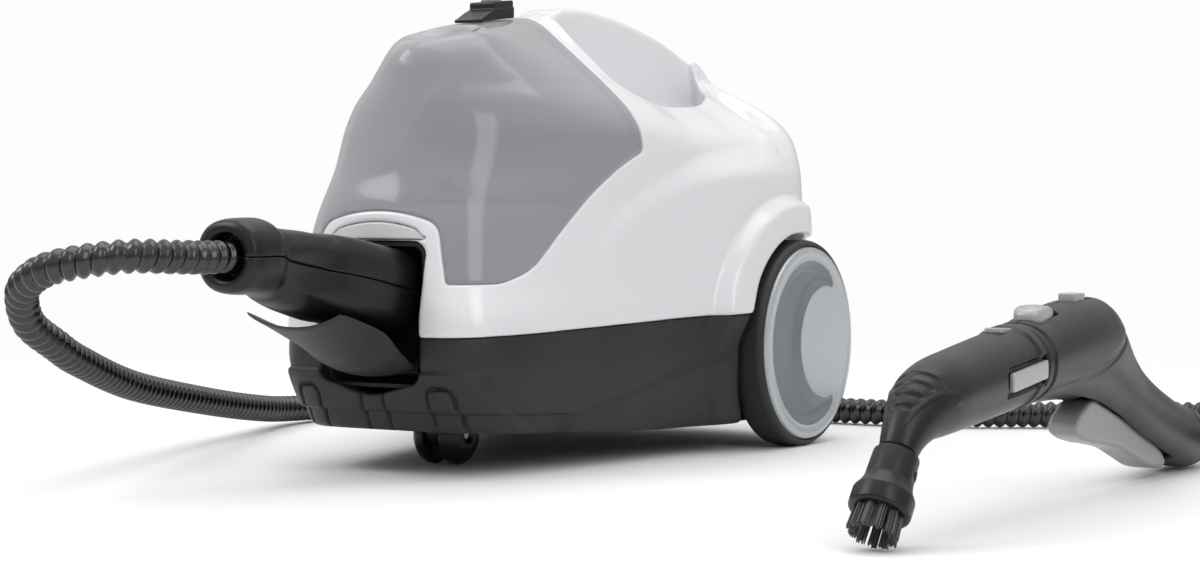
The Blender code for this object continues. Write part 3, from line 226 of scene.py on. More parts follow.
def tank_region(x, y, z, gap=0.0):
    above_skirt = (curve(SKIRT_Y, SKIRT_Z, y) + gap - z) * 0.8
    region = meet(above_skirt, y - (TANK_Y - gap), 1.6)
    return cut(region, meet(arch(x, z, gap), y + 222, 1.0), 1.4)


def pedestal(x, y, z):
    top = curve((-360, -180, -120), (146, 146, 181), y)
    return meet(body(x, y, z, 4.4), z - top, 4.0)


def well(x, y, z, radius=66.0, floor_x=98.5):
    """Wheel well outboard of floor_x on both sides."""
    return meet(length(y, z - AXLE_Z) - radius, floor_x - np.abs(x), 3.0)


def opening(x, y, z, mid_z, radius):
    """Opening in the nose, through both housing and base."""
    return np.maximum(rounded_box(x, z, 0, mid_z, 65, 79, radius), y + 206)


def hatch(x, z, gap=0.0):
    return rounded_box(x, z, 0, 131, 112 - 2 * gap, 78 - 2 * gap, 8 - gap)


def window_outline(x, z):
    across = np.abs(x)
    top = 136.4 - 0.0058 * across * across - 0.5 * np.maximum(across - 25, 0)
    return meet(z - top, 127.2 - z, 0.6)


def housing(x, y, z):
    solid = outer(x, y, z)
    thickness = 5.2 + 1.8 * ease((-112 - y) / 10) + 4.5 * ease((y - 20) / 25)
    nose_top = curve((-290, -176, -131, -124), (139, 139, 165, 166), y)
    toward_rear = ease((y + 25) / 22)
    top = np.where(y < -120, nose_top,
                   np.minimum(gable(x, y) - 7 - 8 * toward_rear, 191.0 - 13 * toward_rear))
    cavity = meet(wall(x, y, z, thickness), z - top, 6.0)
    cavity = cut(cavity, well(x, y, z, 97.0, 86.0), 2.0)
    solid = cut(solid, cavity, 1.2)
    tank_space = cut(tank_region(x, y, z), pedestal(x, y, z), 1.5)
    solid = cut(solid, tank_space, 1.3)
    solid = meet(solid, split_z(y) + 0.2 - z, 1.3)
    solid = cut(solid, well(x, y, z), 2.6)
    solid = cut(solid, opening(x, y, z, 86.5, 8), 2.6)
    solid = cut(solid, np.maximum(window_outline(x, z) - 0.25, y + 255), 1.0)
    return cut(solid, np.maximum(hatch(x, z), 46 - y), 1.2)


def base_bottom(y):
    return 16.0 + 0.05 * np.maximum(-110 - y, 0)


def base(x, y, z):
    across = np.abs(x)
    # inset of the outer wall: less on the bumper panel, more in its moulded arch lines
    panel = meet(across - 67.5 + 0.10 * np.maximum(z - 30, 0), z - 56.5, 8.0)
    inset = 1.3 - 2.0 * ease(0.5 - panel / 1.4) * (y < -205)
    side_line = 60 + (y + 66) * 0.254
    inset = inset - 0.9 * ease((side_line - z + 4) / 7) * ease((y + 205) / 25)
    for arch_x in (0.0, 43.0):
        outline = rounded_box(across, z, arch_x, 29.0, 14.5, 38, 5.0)
        inset = inset + 2.3 * ease(1.35 - np.abs(outline) / 1.15) * (y < PIVOT_Y)
    lip = 27.5 + 0.05 * np.maximum(-110 - y, 0)
    inset = inset + 2.6 * ease((lip - z) / 1.6) * ease((-190 - y) / 12)
    solid = wall(x, y, z, inset)
    solid = meet(solid, base_bottom(y) - z, 5.0)

    # hollow, leaving walls round the wheel wells and the caster pocket
    from_pivot = length(x, y - PIVOT_Y)
    cavity = meet(wall(x, y, z, 5.2 + 4.2 * ease((-160 - y) / 20)),
                  base_bottom(y) + 3.0 - z, 5.0)
    cavity = cut(cavity, well(x, y, z, 97.0, 86.0), 2.0)
    cavity = cut(cavity, np.maximum(from_pivot - 37, z - 44.7), 2.0)
    solid = cut(solid, cavity, 1.2)
    solid = meet(solid, z - (split_z(y) - 0.2), 1.3)
    solid = cut(solid, well(x, y, z), 2.4)
    dip = 4.0 * ease((33 - across) / 33.0) * 1.6
    solid = cut(solid, opening(x, y, z, 90.0 - dip, 6), 2.2)
    solid = cut(solid, np.maximum(from_pivot - 34, z - 41.5), 1.6)
    return cut(solid, np.maximum(from_pivot - 5.4, z - 60), 0.6)


def crown_dish(x, y, z, half_x, half_y, half_z):
    """Oval dish in the crown of the tank."""
    return (length(x / half_x, (y + 214) / half_y, (z - 249.5) / half_z) - 1) * 11.0


def tank(x, y, z):
    solid = cut(body(x, y, z), crown_dish(x, y, z, 25.0, 26.0, 13.5), 1.6)
    cavity = meet(body(x, y, z, 3.4), y - (TANK_Y - 3.8), 3.0)
    cavity = cut(cavity, crown_dish(x, y, z, 30.0, 31.0, 18.6), 2.0)
    solid = cut(solid, cavity, 1.0)
    return meet(solid, tank_region(x, y, z, 0.35), 1.5)


def cable_cover(x, y, z):
    solid = cut(body(x, y, z), wall(x, y, z, 3.0), 0.8)
    solid = meet(solid, hatch(x, z, 0.45), 1.2)
    return np.maximum(solid, 62.6 - y)


def status_window(x, y, z):
    solid = meet(body(x, y, z, 0.35), window_outline(x, z) + 0.05, 0.9)
    return np.maximum(solid, y + 264.5)


# ============================================================ mesh building
def metres(points):
    return (np.asarray(points, float) - np.array([0, 0, DROP])) * 0.001


def link(name, data):
    ob = bpy.data.objects.new(name, data)
    bpy.context.scene.collection.objects.link(ob)
    return ob


def mesh_object(name, points, faces):
    """Smooth mesh from points in mm and an array of faces of equal size."""
    me = bpy.data.meshes.new(name)
    co = metres(points)
    count, sides = faces.shape
    me.vertices.add(len(co))
    me.vertices.foreach_set("co", co.ravel().astype(np.float32))
    me.loops.add(count * sides)
    me.loops.foreach_set("vertex_index", faces.ravel().astype(np.int32))
    me.polygons.add(count)
    me.polygons.foreach_set("loop_start", (np.arange(count) * sides).astype(np.int32))
    me.update(calc_edges=True)
    me.validate()
    me.shade_smooth()
    return link(name, me)


CORNERS = [(a, b, c) for a in (0, 1) for b in (0, 1) for c in (0, 1)]
BLOCK = 4               # cells along a coarse block
BAND = 1.9              # blocks are refined where the field is within this many block sizes
FAR = 9.0               # field value given to points outside the band
CHUNK = 500000          # points sampled at a time
RELAX_PASSES = 2
PROBE = 0.25            # mm, step for the field's gradient


def spread(blocks):
    for axis in range(3):
        blocks = np.repeat(blocks, BLOCK, axis)
    return blocks


def sample_band(field, lo, hi, cell):
    """Field on a grid, exact only in a band round the skin, and the grid's cell counts."""
    blocks = np.ceil((hi - lo) / (cell * BLOCK)).astype(int)
    cells = blocks * BLOCK
    axes = [lo[i] + (np.arange(blocks[i]) + 0.5) * BLOCK * cell for i in range(3)]
    coarse = field(*[part.ravel() for part in np.meshgrid(*axes, indexing="ij")])
    coarse = coarse.reshape(blocks)
    active = spread(np.abs(coarse) < BAND * BLOCK * cell)
    values = spread(np.where(coarse < 0, -FAR, FAR).astype(np.float32))
    values = np.pad(values, ((0, 1),) * 3, mode="edge")
    wanted = np.zeros(cells + 1, bool)
    for corner in CORNERS:
        wanted[corner_view(corner, cells)] |= active
    index = np.argwhere(wanted)
    exact = np.empty(len(index), np.float32)
    for start in range(0, len(index), CHUNK):
        points = lo + index[start:start + CHUNK] * cell
        exact[start:start + CHUNK] = field(*points.T)
    values[wanted] = exact
    for axis in range(3):
        np.moveaxis(values, axis, 0)[[0, -1]] = FAR
    return values, cells


def corner_view(corner, cells):
    return tuple(slice(d, d + n) for d, n in zip(corner, cells))


def crossing_means(values, index):
    """Mean of the skin's crossings on each cell's edges, in cell units from its low corner."""
    total = np.zeros((len(index), 3))
    hits = np.zeros(len(index))
    at = {corner: values[tuple((index + corner).T)].astype(float) for corner in CORNERS}
    for corner in CORNERS:
        for d in range(3):
            if corner[d]:
                continue
            end = list(corner)
            end[d] = 1
            near, far = at[corner], at[tuple(end)]
            crosses = (near < 0) != (far < 0)
            t = np.where(crosses, near / np.where(crosses, near - far, 1), 0)
            point = np.array(corner, float)[None, :].repeat(len(index), 0)
            point[:, d] += t
            total[crosses] += point[crosses]
            hits[crosses] += 1
    return total / hits[:, None]


def net_faces(inside, ids, cells):
    """One quad round every grid edge that crosses the skin."""
    faces = []
    for d in range(3):
        u, v = (d + 1) % 3, (d + 2) % 3
        edges = np.argwhere(np.diff(inside, axis=d))
        edges = edges[(edges[:, u] > 0) & (edges[:, v] > 0)
                      & (edges[:, u] < cells[u]) & (edges[:, v] < cells[v])]
        quads = []
        for du, dv in ((0, 0), (1, 0), (1, 1), (0, 1)):
            neighbour = edges.copy()
            neighbour[:, u] -= du
            neighbour[:, v] -= dv
            quads.append(ids[tuple(neighbour.T)])
        quads = np.stack(quads, 1)
        flip = ~inside[tuple(edges.T)]
        quads[flip] = quads[flip][:, ::-1]
        faces.append(quads)
    faces = np.concatenate(faces)
    return faces[(faces >= 0).all(1)]


def relax(points, faces, field, cell):
    """Evens out the net along the surface, then pulls it back onto the field."""
    edges = np.concatenate([faces[:, [i, (i + 1) % 4]] for i in range(4)])
    count = len(points)
    degree = np.bincount(edges.ravel(), minlength=count).astype(float)[:, None]
    for _ in range(RELAX_PASSES):
        sums = np.stack([np.bincount(edges[:, 0], points[edges[:, 1], k], count)
                         + np.bincount(edges[:, 1], points[edges[:, 0], k], count)
                         for k in range(3)], 1)
        points = points * 0.4 + (sums / np.maximum(degree, 1)) * 0.6
        here = field(*points.T)
        slope = np.stack([field(*[points[:, d] + PROBE * (d == k) for d in range(3)]) - here
                          for k in range(3)], 1) / PROBE
        steep = np.maximum((slope * slope).sum(1), 0.2)
        move = np.clip(here / steep, -0.8 * cell, 0.8 * cell)
        points = points - slope * move[:, None]
    return points


def nets(name, field, lo, hi, cell):
    """Skin of a field inside the box lo..hi, by surface nets."""
    lo = np.array(lo, float)
    values, cells = sample_band(field, lo, np.array(hi, float), cell)
    inside = values < 0
    count = np.zeros(cells, np.uint8)
    for corner in CORNERS:
        count += inside[corner_view(corner, cells)]
    index = np.argwhere((count > 0) & (count < 8))
    ids = np.full(cells, -1, np.int32)
    ids[tuple(index.T)] = np.arange(len(index))
    points = lo + (index + crossing_means(values, index)) * cell
    faces = net_faces(inside, ids, cells)
    return mesh_object(name, relax(points, faces, field, cell), faces)


def grid_faces(rows, cols, closed):
    i, j = np.meshgrid(np.arange(rows - 1), np.arange(cols if closed else cols - 1),
                       indexing="ij")
    a = i * cols + j
    b = i * cols + (j + 1) % cols
    return np.stack([a, b, b + cols, a + cols], -1).reshape(-1, 4)


def angles(count):
    return np.arange(count) * math.tau / count


def add_points(bm, points):
    return [bm.verts.new(point) for point in metres(points)]


def add_ring(bm, centre, radius, side, up, count):
    return add_points(bm, [centre + radius * (math.cos(t) * side + math.sin(t) * up)
                           for t in angles(count)])


def add_grid(bm, verts, rows, cols):
    for face in grid_faces(rows, cols, True):
        bm.faces.new([verts[i] for i in face])


def bridge(bm, first, second):
    for i in range(len(first)):
        j = (i + 1) % len(first)
        bm.faces.new((first[i], first[j], second[j], second[i]))


def add_fan(bm, tip, ring):
    for a, b in zip(ring, ring[1:] + ring[:1]):
        bm.faces.new((tip, a, b))


def finish(bm, name, mesh_name=None, smooth=True, sharp=None):
    """Turns a bmesh into an object; edges over the sharp angle, in degrees, stay hard."""
    bmesh.ops.recalc_face_normals(bm, faces=bm.faces)
    me = bpy.data.meshes.new(mesh_name or name)
    bm.to_mesh(me)
    bm.free()
    if smooth:
        me.shade_smooth()
    if sharp:
        me.set_sharp_from_angle(angle=math.radians(sharp))
    return link(name, me)


def lathe(name, profile, centre, axis, segments):
    """Turns (radius, height along axis) points: a closed loop, or a line from axis to axis."""
    axis = np.array(axis, float)
    axis = axis / np.linalg.norm(axis)
    side = np.cross(np.array([0, 0, 1.0]), axis)
    side /= np.linalg.norm(side)
    up = np.cross(axis, side)
    bm = bmesh.new()
    rings = []
    for radius, height in profile:
        place = np.array(centre) + axis * height
        if radius < 1e-6:
            rings.append(add_points(bm, [place]))
        else:
            rings.append(add_ring(bm, place, radius, side, up, segments))
    pairs = list(zip(rings, rings[1:]))
    if profile[0][0] > 1e-6:
        pairs.append((rings[-1], rings[0]))
    for first, second in pairs:
        if len(first) == 1:
            add_fan(bm, first[0], second)
        elif len(second) == 1:
            add_fan(bm, second[0], first)
        else:
            bridge(bm, first, second)
    return finish(bm, name, sharp=38)


def fillet(profile, radius=0.6, steps=4, closed=True):
    """Rounds the corners of a profile."""
    corners = [np.array(p, float) for p in profile]
    out = []
    count = len(corners)
    for i, corner in enumerate(corners):
        if not closed and i in (0, count - 1):
            out.append(tuple(corner))
            continue
        back, ahead = corners[i - 1] - corner, corners[(i + 1) % count] - corner
        back_size, ahead_size = np.linalg.norm(back), np.linalg.norm(ahead)
        reach = min(radius, back_size * 0.45, ahead_size * 0.45)
        start, end = corner + back / back_size * reach, corner + ahead / ahead_size * reach
        for k in range(steps + 1):
            t = k / steps
            out.append(tuple((1 - t) ** 2 * start + 2 * t * (1 - t) * corner + t * t * end))
    return out


# ============================================================ materials
def principled(material):
    material.use_nodes = True
    return material.node_tree, material.node_tree.nodes["Principled BSDF"]


def fill(node, inputs):
    for key, value in inputs.items():
        node.inputs[key].default_value = value


def add_node(tree, kind, inputs=None, **settings):
    node = tree.nodes.new("ShaderNode" + kind)
    for key, value in settings.items():
        setattr(node, key, value)
    fill(node, inputs or {})
    return node


def shade(name, colour, rough, metal=0.0, grain=900.0, bump=0.05, vary=0.06, rough_vary=0.08,
          alpha=1.0, coat=0.0, spec=0.5, stretch=None, patch=18.0, depth=0.0004, cells=0.0):
    """Plastic or metal. vary and rough_vary are the swings of colour and roughness over
    patches; grain and cells are texture scales of the bump, depth its distance in metres."""
    material = bpy.data.materials.new(name)
    tree, surface = principled(material)
    wire = tree.links.new
    coords = add_node(tree, "TexCoord")
    mapping = add_node(tree, "Mapping")
    wire(coords.outputs["Object"], mapping.inputs["Vector"])
    if stretch:
        mapping.inputs["Scale"].default_value = stretch
    patches = add_node(tree, "TexNoise", {"Scale": patch, "Detail": 3})
    wire(coords.outputs["Object"], patches.inputs["Vector"])
    fine = add_node(tree, "TexNoise", {"Scale": grain, "Detail": 2})
    wire(mapping.outputs["Vector"], fine.inputs["Vector"])
    mix = add_node(tree, "Mix", data_type="RGBA", inputs={
        "A": (*[c * (1 - vary) for c in colour], 1),
        "B": (*[min(1, c * (1 + vary)) for c in colour], 1)})
    wire(patches.outputs["Fac"], mix.inputs["Factor"])
    wire(mix.outputs["Result"], surface.inputs["Base Color"])
    rough_range = add_node(tree, "MapRange", {"To Min": max(0.02, rough - rough_vary),
                                              "To Max": rough + rough_vary})
    wire(patches.outputs["Fac"], rough_range.inputs["Value"])
    wire(rough_range.outputs["Result"], surface.inputs["Roughness"])
    fill(surface, {"Metallic": metal, "Alpha": alpha, "Coat Weight": coat,
                   "Coat Roughness": 0.08, "Specular IOR Level": spec})
    relief = add_node(tree, "Bump", {"Strength": bump, "Distance": depth})
    height = fine.outputs["Fac"]
    if cells:
        voronoi = add_node(tree, "TexVoronoi", {"Scale": cells})
        wire(mapping.outputs["Vector"], voronoi.inputs["Vector"])
        total = add_node(tree, "Math", operation="ADD")
        wire(fine.outputs["Fac"], total.inputs[0])
        wire(voronoi.outputs["Distance"], total.inputs[1])
        height = total.outputs["Value"]
    wire(height, relief.inputs["Height"])
    wire(relief.outputs["Normal"], surface.inputs["Normal"])
    material.diffuse_color = (*colour, alpha)
    return material


WHITE = shade("white_gloss", (0.70, 0.71, 0.725), rough=0.2, grain=420, bump=0.03, vary=0.012,
              rough_vary=0.03, coat=0.35, patch=9)
CHARCOAL = shade("charcoal_grain", (0.017, 0.017, 0.018), rough=0.44, grain=1500, bump=0.4,
                 vary=0.12, rough_vary=0.05, cells=1400, depth=0.0003, spec=0.38)
BLACK = shade("black_satin", (0.0055, 0.0055, 0.0060), rough=0.33, grain=1300, bump=0.2,
              vary=0.15, rough_vary=0.07, cells=1200, depth=0.0002, spec=0.36)
RECESS = shade("black_recess", (0.008, 0.008, 0.008), rough=0.6, bump=0.15, vary=0.1)
RUBBER = shade("tyre_rubber", (0.012, 0.012, 0.012), rough=0.55, grain=1100, bump=0.25,
               vary=0.12)
HOSE_GLOSS = shade("hose_gloss", (0.005, 0.005, 0.0055), rough=0.2, grain=600, vary=0.12,
                   rough_vary=0.05, spec=0.7)
SILVER = shade("cap_silver", (0.44, 0.46, 0.475), rough=0.33, metal=0.3, bump=0.04, vary=0.02,
               rough_vary=0.04, coat=0.2)
CAP_FLOOR = shade("cap_grey_floor", (0.17, 0.195, 0.21), rough=0.36, metal=0.25, bump=0.04,
                  vary=0.04, rough_vary=0.04)
GREY = shade("grey_trim", (0.25, 0.26, 0.27), rough=0.34, metal=0.15, grain=1000, bump=0.06,
             vary=0.05)
BUTTON_GREY = shade("grey_button", (0.36, 0.37, 0.38), rough=0.34, metal=0.2, grain=1000,
                    bump=0.06, vary=0.05)
STEEL = shade("spun_steel", (0.50, 0.49, 0.48), rough=0.32, metal=1.0, grain=260, bump=0.12,
              vary=0.08, stretch=(1, 1, 9))
BRASS = shade("machined_brass", (0.58, 0.40, 0.15), rough=0.28, metal=1.0, grain=500,
              bump=0.08, vary=0.1)
BOARD = shade("board_green", (0.02, 0.12, 0.06), rough=0.35, grain=700, bump=0.1, vary=0.2,
              cells=260)
TUBE = shade("clear_tube", (0.55, 0.56, 0.55), rough=0.25, grain=300, bump=0.04, vary=0.05,
             alpha=0.75)
FROST = shade("frosted_window", (0.56, 0.57, 0.575), rough=0.32, grain=700, bump=0.06,
              vary=0.02, coat=0.2)
BRISTLE = shade("bristle_nylon", (0.085, 0.083, 0.08), rough=0.42, grain=1500, bump=0.15,
                vary=0.25, stretch=(1, 1, 0.2))
CABLE = shade("cable_black", (0.014, 0.014, 0.014), rough=0.42, bump=0.1, vary=0.1)


def smoked(name):
    """Glossy grey mixed with clear, more solid at grazing angles."""
    material = bpy.data.materials.new(name)
    tree, surface = principled(material)
    wire = tree.links.new
    coords = add_node(tree, "TexCoord")
    patches = add_node(tree, "TexNoise", {"Scale": 12})
    wire(coords.outputs["Object"], patches.inputs["Vector"])
    fine = add_node(tree, "TexNoise", {"Scale": 45})
    wire(coords.outputs["Object"], fine.inputs["Vector"])
    tint = add_node(tree, "Mix", data_type="RGBA", inputs={
        "A": (0.42, 0.425, 0.44, 1), "B": (0.46, 0.465, 0.48, 1)})
    wire(patches.outputs["Fac"], tint.inputs["Factor"])
    wire(tint.outputs["Result"], surface.inputs["Base Color"])
    fill(surface, {"Roughness": 0.13, "Coat Weight": 0.5, "Coat Roughness": 0.04})
    relief = add_node(tree, "Bump", {"Strength": 0.02, "Distance": 0.0003})
    wire(fine.outputs["Fac"], relief.inputs["Height"])
    wire(relief.outputs["Normal"], surface.inputs["Normal"])
    clear = add_node(tree, "BsdfTransparent", {"Color": (0.82, 0.825, 0.84, 1)})
    facing = add_node(tree, "LayerWeight", {"Blend": 0.35})
    cover = add_node(tree, "MapRange", {"To Min": 0.40, "To Max": 0.85})
    wire(facing.outputs["Facing"], cover.inputs["Value"])
    mix = add_node(tree, "MixShader")
    wire(cover.outputs["Result"], mix.inputs["Fac"])
    wire(clear.outputs["BSDF"], mix.inputs[1])
    wire(surface.outputs["BSDF"], mix.inputs[2])
    wire(mix.outputs["Shader"], tree.nodes["Material Output"].inputs["Surface"])
    material.diffuse_color = (0.4, 0.4, 0.42, 0.6)
    return material


SMOKE = smoked("smoked_tank")


def paint(ob, material):
    ob.data.materials.clear()
    ob.data.materials.append(material)


def use(ob, material, carrier, slot, *replaced):
    """Paints a piece, ties it to the body that carries it and hides the CAD nodes it replaces."""
    paint(ob, material)
    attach(ob, carrier)
    if replaced:
        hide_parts(*replaced)


# ============================================================ shells of the machine
use(nets("housing_shell", housing, (-127, -284, 70), (127, 90, 266), 1.45),
    WHITE, "machine", "white_shell", "upper_housing")
use(nets("base_shell", base, (-127, -286, 12), (127, 90, 86), 1.15),
    CHARCOAL, "machine", "charcoal_base", "base_pan")
use(nets("tank_bell", tank, (-92, -278, 100), (92, -126, 258), 1.2),
    SMOKE, "tank", "tank_smoke", "tank_shell")
use(nets("cable_door_skin", cable_cover, (-58, 60, 90), (58, 90, 172), 1.3),
    WHITE, "cable_door", "white_shell", "cable_cover")
use(nets("status_window", status_window, (-31, -279, 125), (31, -262, 138.5), 0.8),
    FROST, "machine", "grey_plastic", "indicator_window")


# ============================================================ tank grip and its button
def grip(x, y, z):
    crown = ridge(y)
    tongue = np.maximum(np.maximum(z - crown - 2.2 - 4.4 * ease((y + 184) / 18), y + 147.2),
                        -182.4 - y)
    block = rounded_box(y, z - crown, GRIP_Y, 5.3, 20.0, 11.0, 1.6)
    block = meet(np.abs(y - GRIP_Y) - (8.4 + 0.20 * (z - crown)), block, 1.0)
    solid = join(np.maximum(tongue, np.abs(x) - 9.3), np.maximum(block, np.abs(x) - 8.6), 1.2)
    solid = meet(solid, np.abs(x) - 9.3, 1.2)
    pocket = np.maximum(rounded_box(x, y, 0, GRIP_Y, 9.8, 11.8, 2.5), (crown + 7.0) - z)
    solid = cut(solid, pocket, 0.5)
    return np.maximum(solid, crown + 0.45 - z)


use(nets("tank_handle", grip, (-11, -185, 246), (11, -144, 270), 0.55),
    BLACK, "tank", "black_plastic", "tank_grip")
BUTTON_Z = float(ridge(-157.0)) + 10.7


def latch_button(x, y, z):
    return meet(rounded_box(x, y, 0, GRIP_Y, 9.0, 11.0, 2.2),
                np.abs(z - BUTTON_Z - 0.1) - 1.1, 0.7)


use(nets("tank_release", latch_button, (-6, -165, BUTTON_Z - 3), (6, -150, BUTTON_Z + 3), 0.4),
    GREY, "latch_button", "grey_plastic", "tank_latch_button")

# ============================================================ steam plug
# Stations along y: height of the seam, half width, height above and depth below the seam
PLUG_Y = (-400, -398, -395, -389, -379, -375, -370, -366, -345, -329, -325, -300, -283, -268,
          -262)
PLUG_MID = (120, 120, 120, 120, 120, 119.6, 118.6, 117.5, 114, 110.9, 110.3, 106, 102.4,
            100.2, 100)
PLUG_HALF = (15.8, 17.6, 19.0, 20.0, 20.2, 19.8, 17.9, 17.4, 18.4, 19.9, 20.9, 23.4, 24.6,
             25.0, 24.2)
PLUG_ABOVE = (15.6, 17.2, 18.4, 19.2, 19.4, 19.0, 17.7, 17.4, 18.6, 19.8, 20.5, 22.0, 22.5,
              22.3, 21.4)
PLUG_BELOW = (15.6, 17.2, 18.4, 19.2, 19.4, 19.6, 20.0, 21.4, 24.6, 25.2, 25.4, 24.2, 23.4,
              22.3, 21.4)


def plug_mid(y):
    return curve(PLUG_Y, PLUG_MID, y)


def plug(x, y, z):
    power = curve((-410, -372, -325, -262), (2.3, 2.4, 3.2, 3.6), y)
    mid = plug_mid(y)
    half = curve(PLUG_Y, PLUG_HALF, y)
    tall = np.where(z > mid, curve(PLUG_Y, PLUG_ABOVE, y), curve(PLUG_Y, PLUG_BELOW, y))
    ratio = superellipse(np.abs(x) / half, np.abs(z - mid) / tall, power)
    solid = (ratio - 1) * np.minimum(half, tall)
    # dishes on the flanks
    dish = length((y + 350) / 22, (z - 112) / 12, (np.abs(x) - 25) / 9.5)
    solid = cut(solid, (dish - 1) * 8, 3.0)
    solid = meet(solid, -398.6 - y, 4.0)
    solid = meet(solid, y + 262.2, 2.5)
    bore = np.maximum(length(x, z - PLUG_BORE_Z) - 11.6, y + 385)
    return cut(solid, bore, 3.6)


def plug_upper(x, y, z):
    return meet(plug(x, y, z), plug_mid(y) + 0.18 - z, 0.9)


def plug_lower(x, y, z):
    return meet(plug(x, y, z), z - plug_mid(y) + 0.18, 0.9)


use(nets("plug_half_top", plug_upper, (-28, -414, 90), (28, -258, 144), 0.85),
    BLACK, "steam_gun", "black_plastic", "plug_upper")
use(nets("plug_half_under", plug_lower, (-28, -414, 74), (28, -258, 122), 0.85),
    BLACK, "steam_gun", "black_plastic", "plug_lower")

# ============================================================ socket flap
# Stations along y: height of the middle, rise of the edges above it, half width
FLAP_Y = (-343.5, -339, -324, -307, -290, -276, -268)
FLAP_Z = (82.6, 80.8, 73.6, 65.0, 57.2, 54.6, 56.6)
FLAP_RISE = (7.2, 8.0, 10.7, 13.6, 9.8, 5.0, 1.2)
FLAP_HALF = (30.0, 31.8, 32.4, 32.0, 30.8, 29.0, 27.5)
FLAP_ROWS, FLAP_COLS = 60, 56


def flap_points():
    """Upper sheet, then lower sheet, closing on each other toward the sides and the tip."""
    points = []
    for side in (1, -1):
        for u in np.linspace(0, 1, FLAP_ROWS):
            y = FLAP_Y[-1] + (FLAP_Y[0] - FLAP_Y[-1]) * u
            mid, rise, half = (float(curve(FLAP_Y, column, y))
                               for column in (FLAP_Z, FLAP_RISE, FLAP_HALF))
            tip = min(1.0, (1 - u) / 0.03) ** 0.5
            for k in range(FLAP_COLS):
                s = -1 + 2 * k / (FLAP_COLS - 1)
                edge = min(1.0, (1 - abs(s)) / 0.06) ** 0.5
                thickness = 0.12 + 0.88 * min(edge, tip)
                points.append((s * half, y - u * (1 - s * s) * 1.6,
                               mid + rise * abs(s) ** 2.1 + side * thickness))
    return points


def flap_leaf():
    rows, cols = FLAP_ROWS, FLAP_COLS
    sheet = rows * cols
    upper = grid_faces(rows, cols, False)
    outline = (list(range(cols)) + [i * cols + cols - 1 for i in range(1, rows)]
               + [(rows - 1) * cols + k for k in range(cols - 2, -1, -1)]
               + [i * cols for i in range(rows - 2, 0, -1)])
    rim = [(a, a + sheet, b + sheet, b) for a, b in zip(outline, outline[1:] + outline[:1])]
    ob = mesh_object("flap_leaf", flap_points(),
                     np.concatenate([upper, upper[:, ::-1] + sheet, np.array(rim)]))
    bm = bmesh.new()
    bm.from_mesh(ob.data)
    bmesh.ops.recalc_face_normals(bm, faces=bm.faces)
    bm.to_mesh(ob.data)
    bm.free()
    return ob


use(flap_leaf(), CHARCOAL, "flap", "charcoal_base", "socket_flap")
KNUCKLE = [(1.9, 24), (3.4, 24), (3.4, -24), (1.9, -24)]
use(lathe("flap_knuckle", fillet(KNUCKLE, 0.4), (0, -263, 57.5), (1, 0, 0), 40),
    CHARCOAL, "flap", "charcoal_base")

# ============================================================ corrugated hose
# Centre line from the plug, round the machine on the floor, to the butt of the gun: x, y, z
HOSE = [
    (0, -388, 120), (0, -398.9, 120), (0, -406, 120), (0, -416, 120), (-1.5, -432, 120.5),
    (-13.5, -457.5, 121), (-44, -471, 116), (-66, -467, 108), (-79, -457, 99),
    (-89, -441, 86), (-98, -413, 74), (-110, -383, 64), (-144, -303, 45), (-184, -196, 28),
    (-215, -105, 15.8), (-234, -41, 10.2), (-230, 40, 8.9), (-200, 110, 8.8),
    (-140, 152, 8.7), (-70, 166, 8.7), (0, 160, 8.7), (84, 148, 8.7), (150, 158, 8.7),
    (215, 192, 8.7), (300, 236, 8.7), (390, 226, 8.7), (440, 160, 8.7), (428, 84, 10),
    (378, 40, 13), (GUN_X, 16, 15.0), (GUN_X, 6.0, 15.0)]
HOSE_STEP = 0.62
HOSE_SEGMENTS = 30
HOSE_PITCH = 7.4
HOSE_ROOT = 6.35        # radius in the grooves
HOSE_RIB = 2.15         # height of the ribs


def spline(points, step):
    """Catmull-Rom curve resampled at even steps, with the distance along it."""
    p = [np.array(point, float) for point in points]
    p = [2 * p[0] - p[1]] + p + [2 * p[-1] - p[-2]]
    out = []
    for i in range(1, len(p) - 2):
        for k in range(40):
            t = k / 40
            out.append(0.5 * ((2 * p[i]) + (-p[i - 1] + p[i + 1]) * t
                              + (2 * p[i - 1] - 5 * p[i] + 4 * p[i + 1] - p[i + 2]) * t * t
                              + (-p[i - 1] + 3 * p[i] - 3 * p[i + 1] + p[i + 2]) * t ** 3))
    out.append(p[-2])
    out = np.array(out)
    run = np.concatenate([[0], np.cumsum(np.linalg.norm(np.diff(out, axis=0), axis=1))])
    even = np.linspace(0, run[-1], int(run[-1] / step))
    return np.stack([np.interp(even, run, out[:, k]) for k in range(3)], 1), even


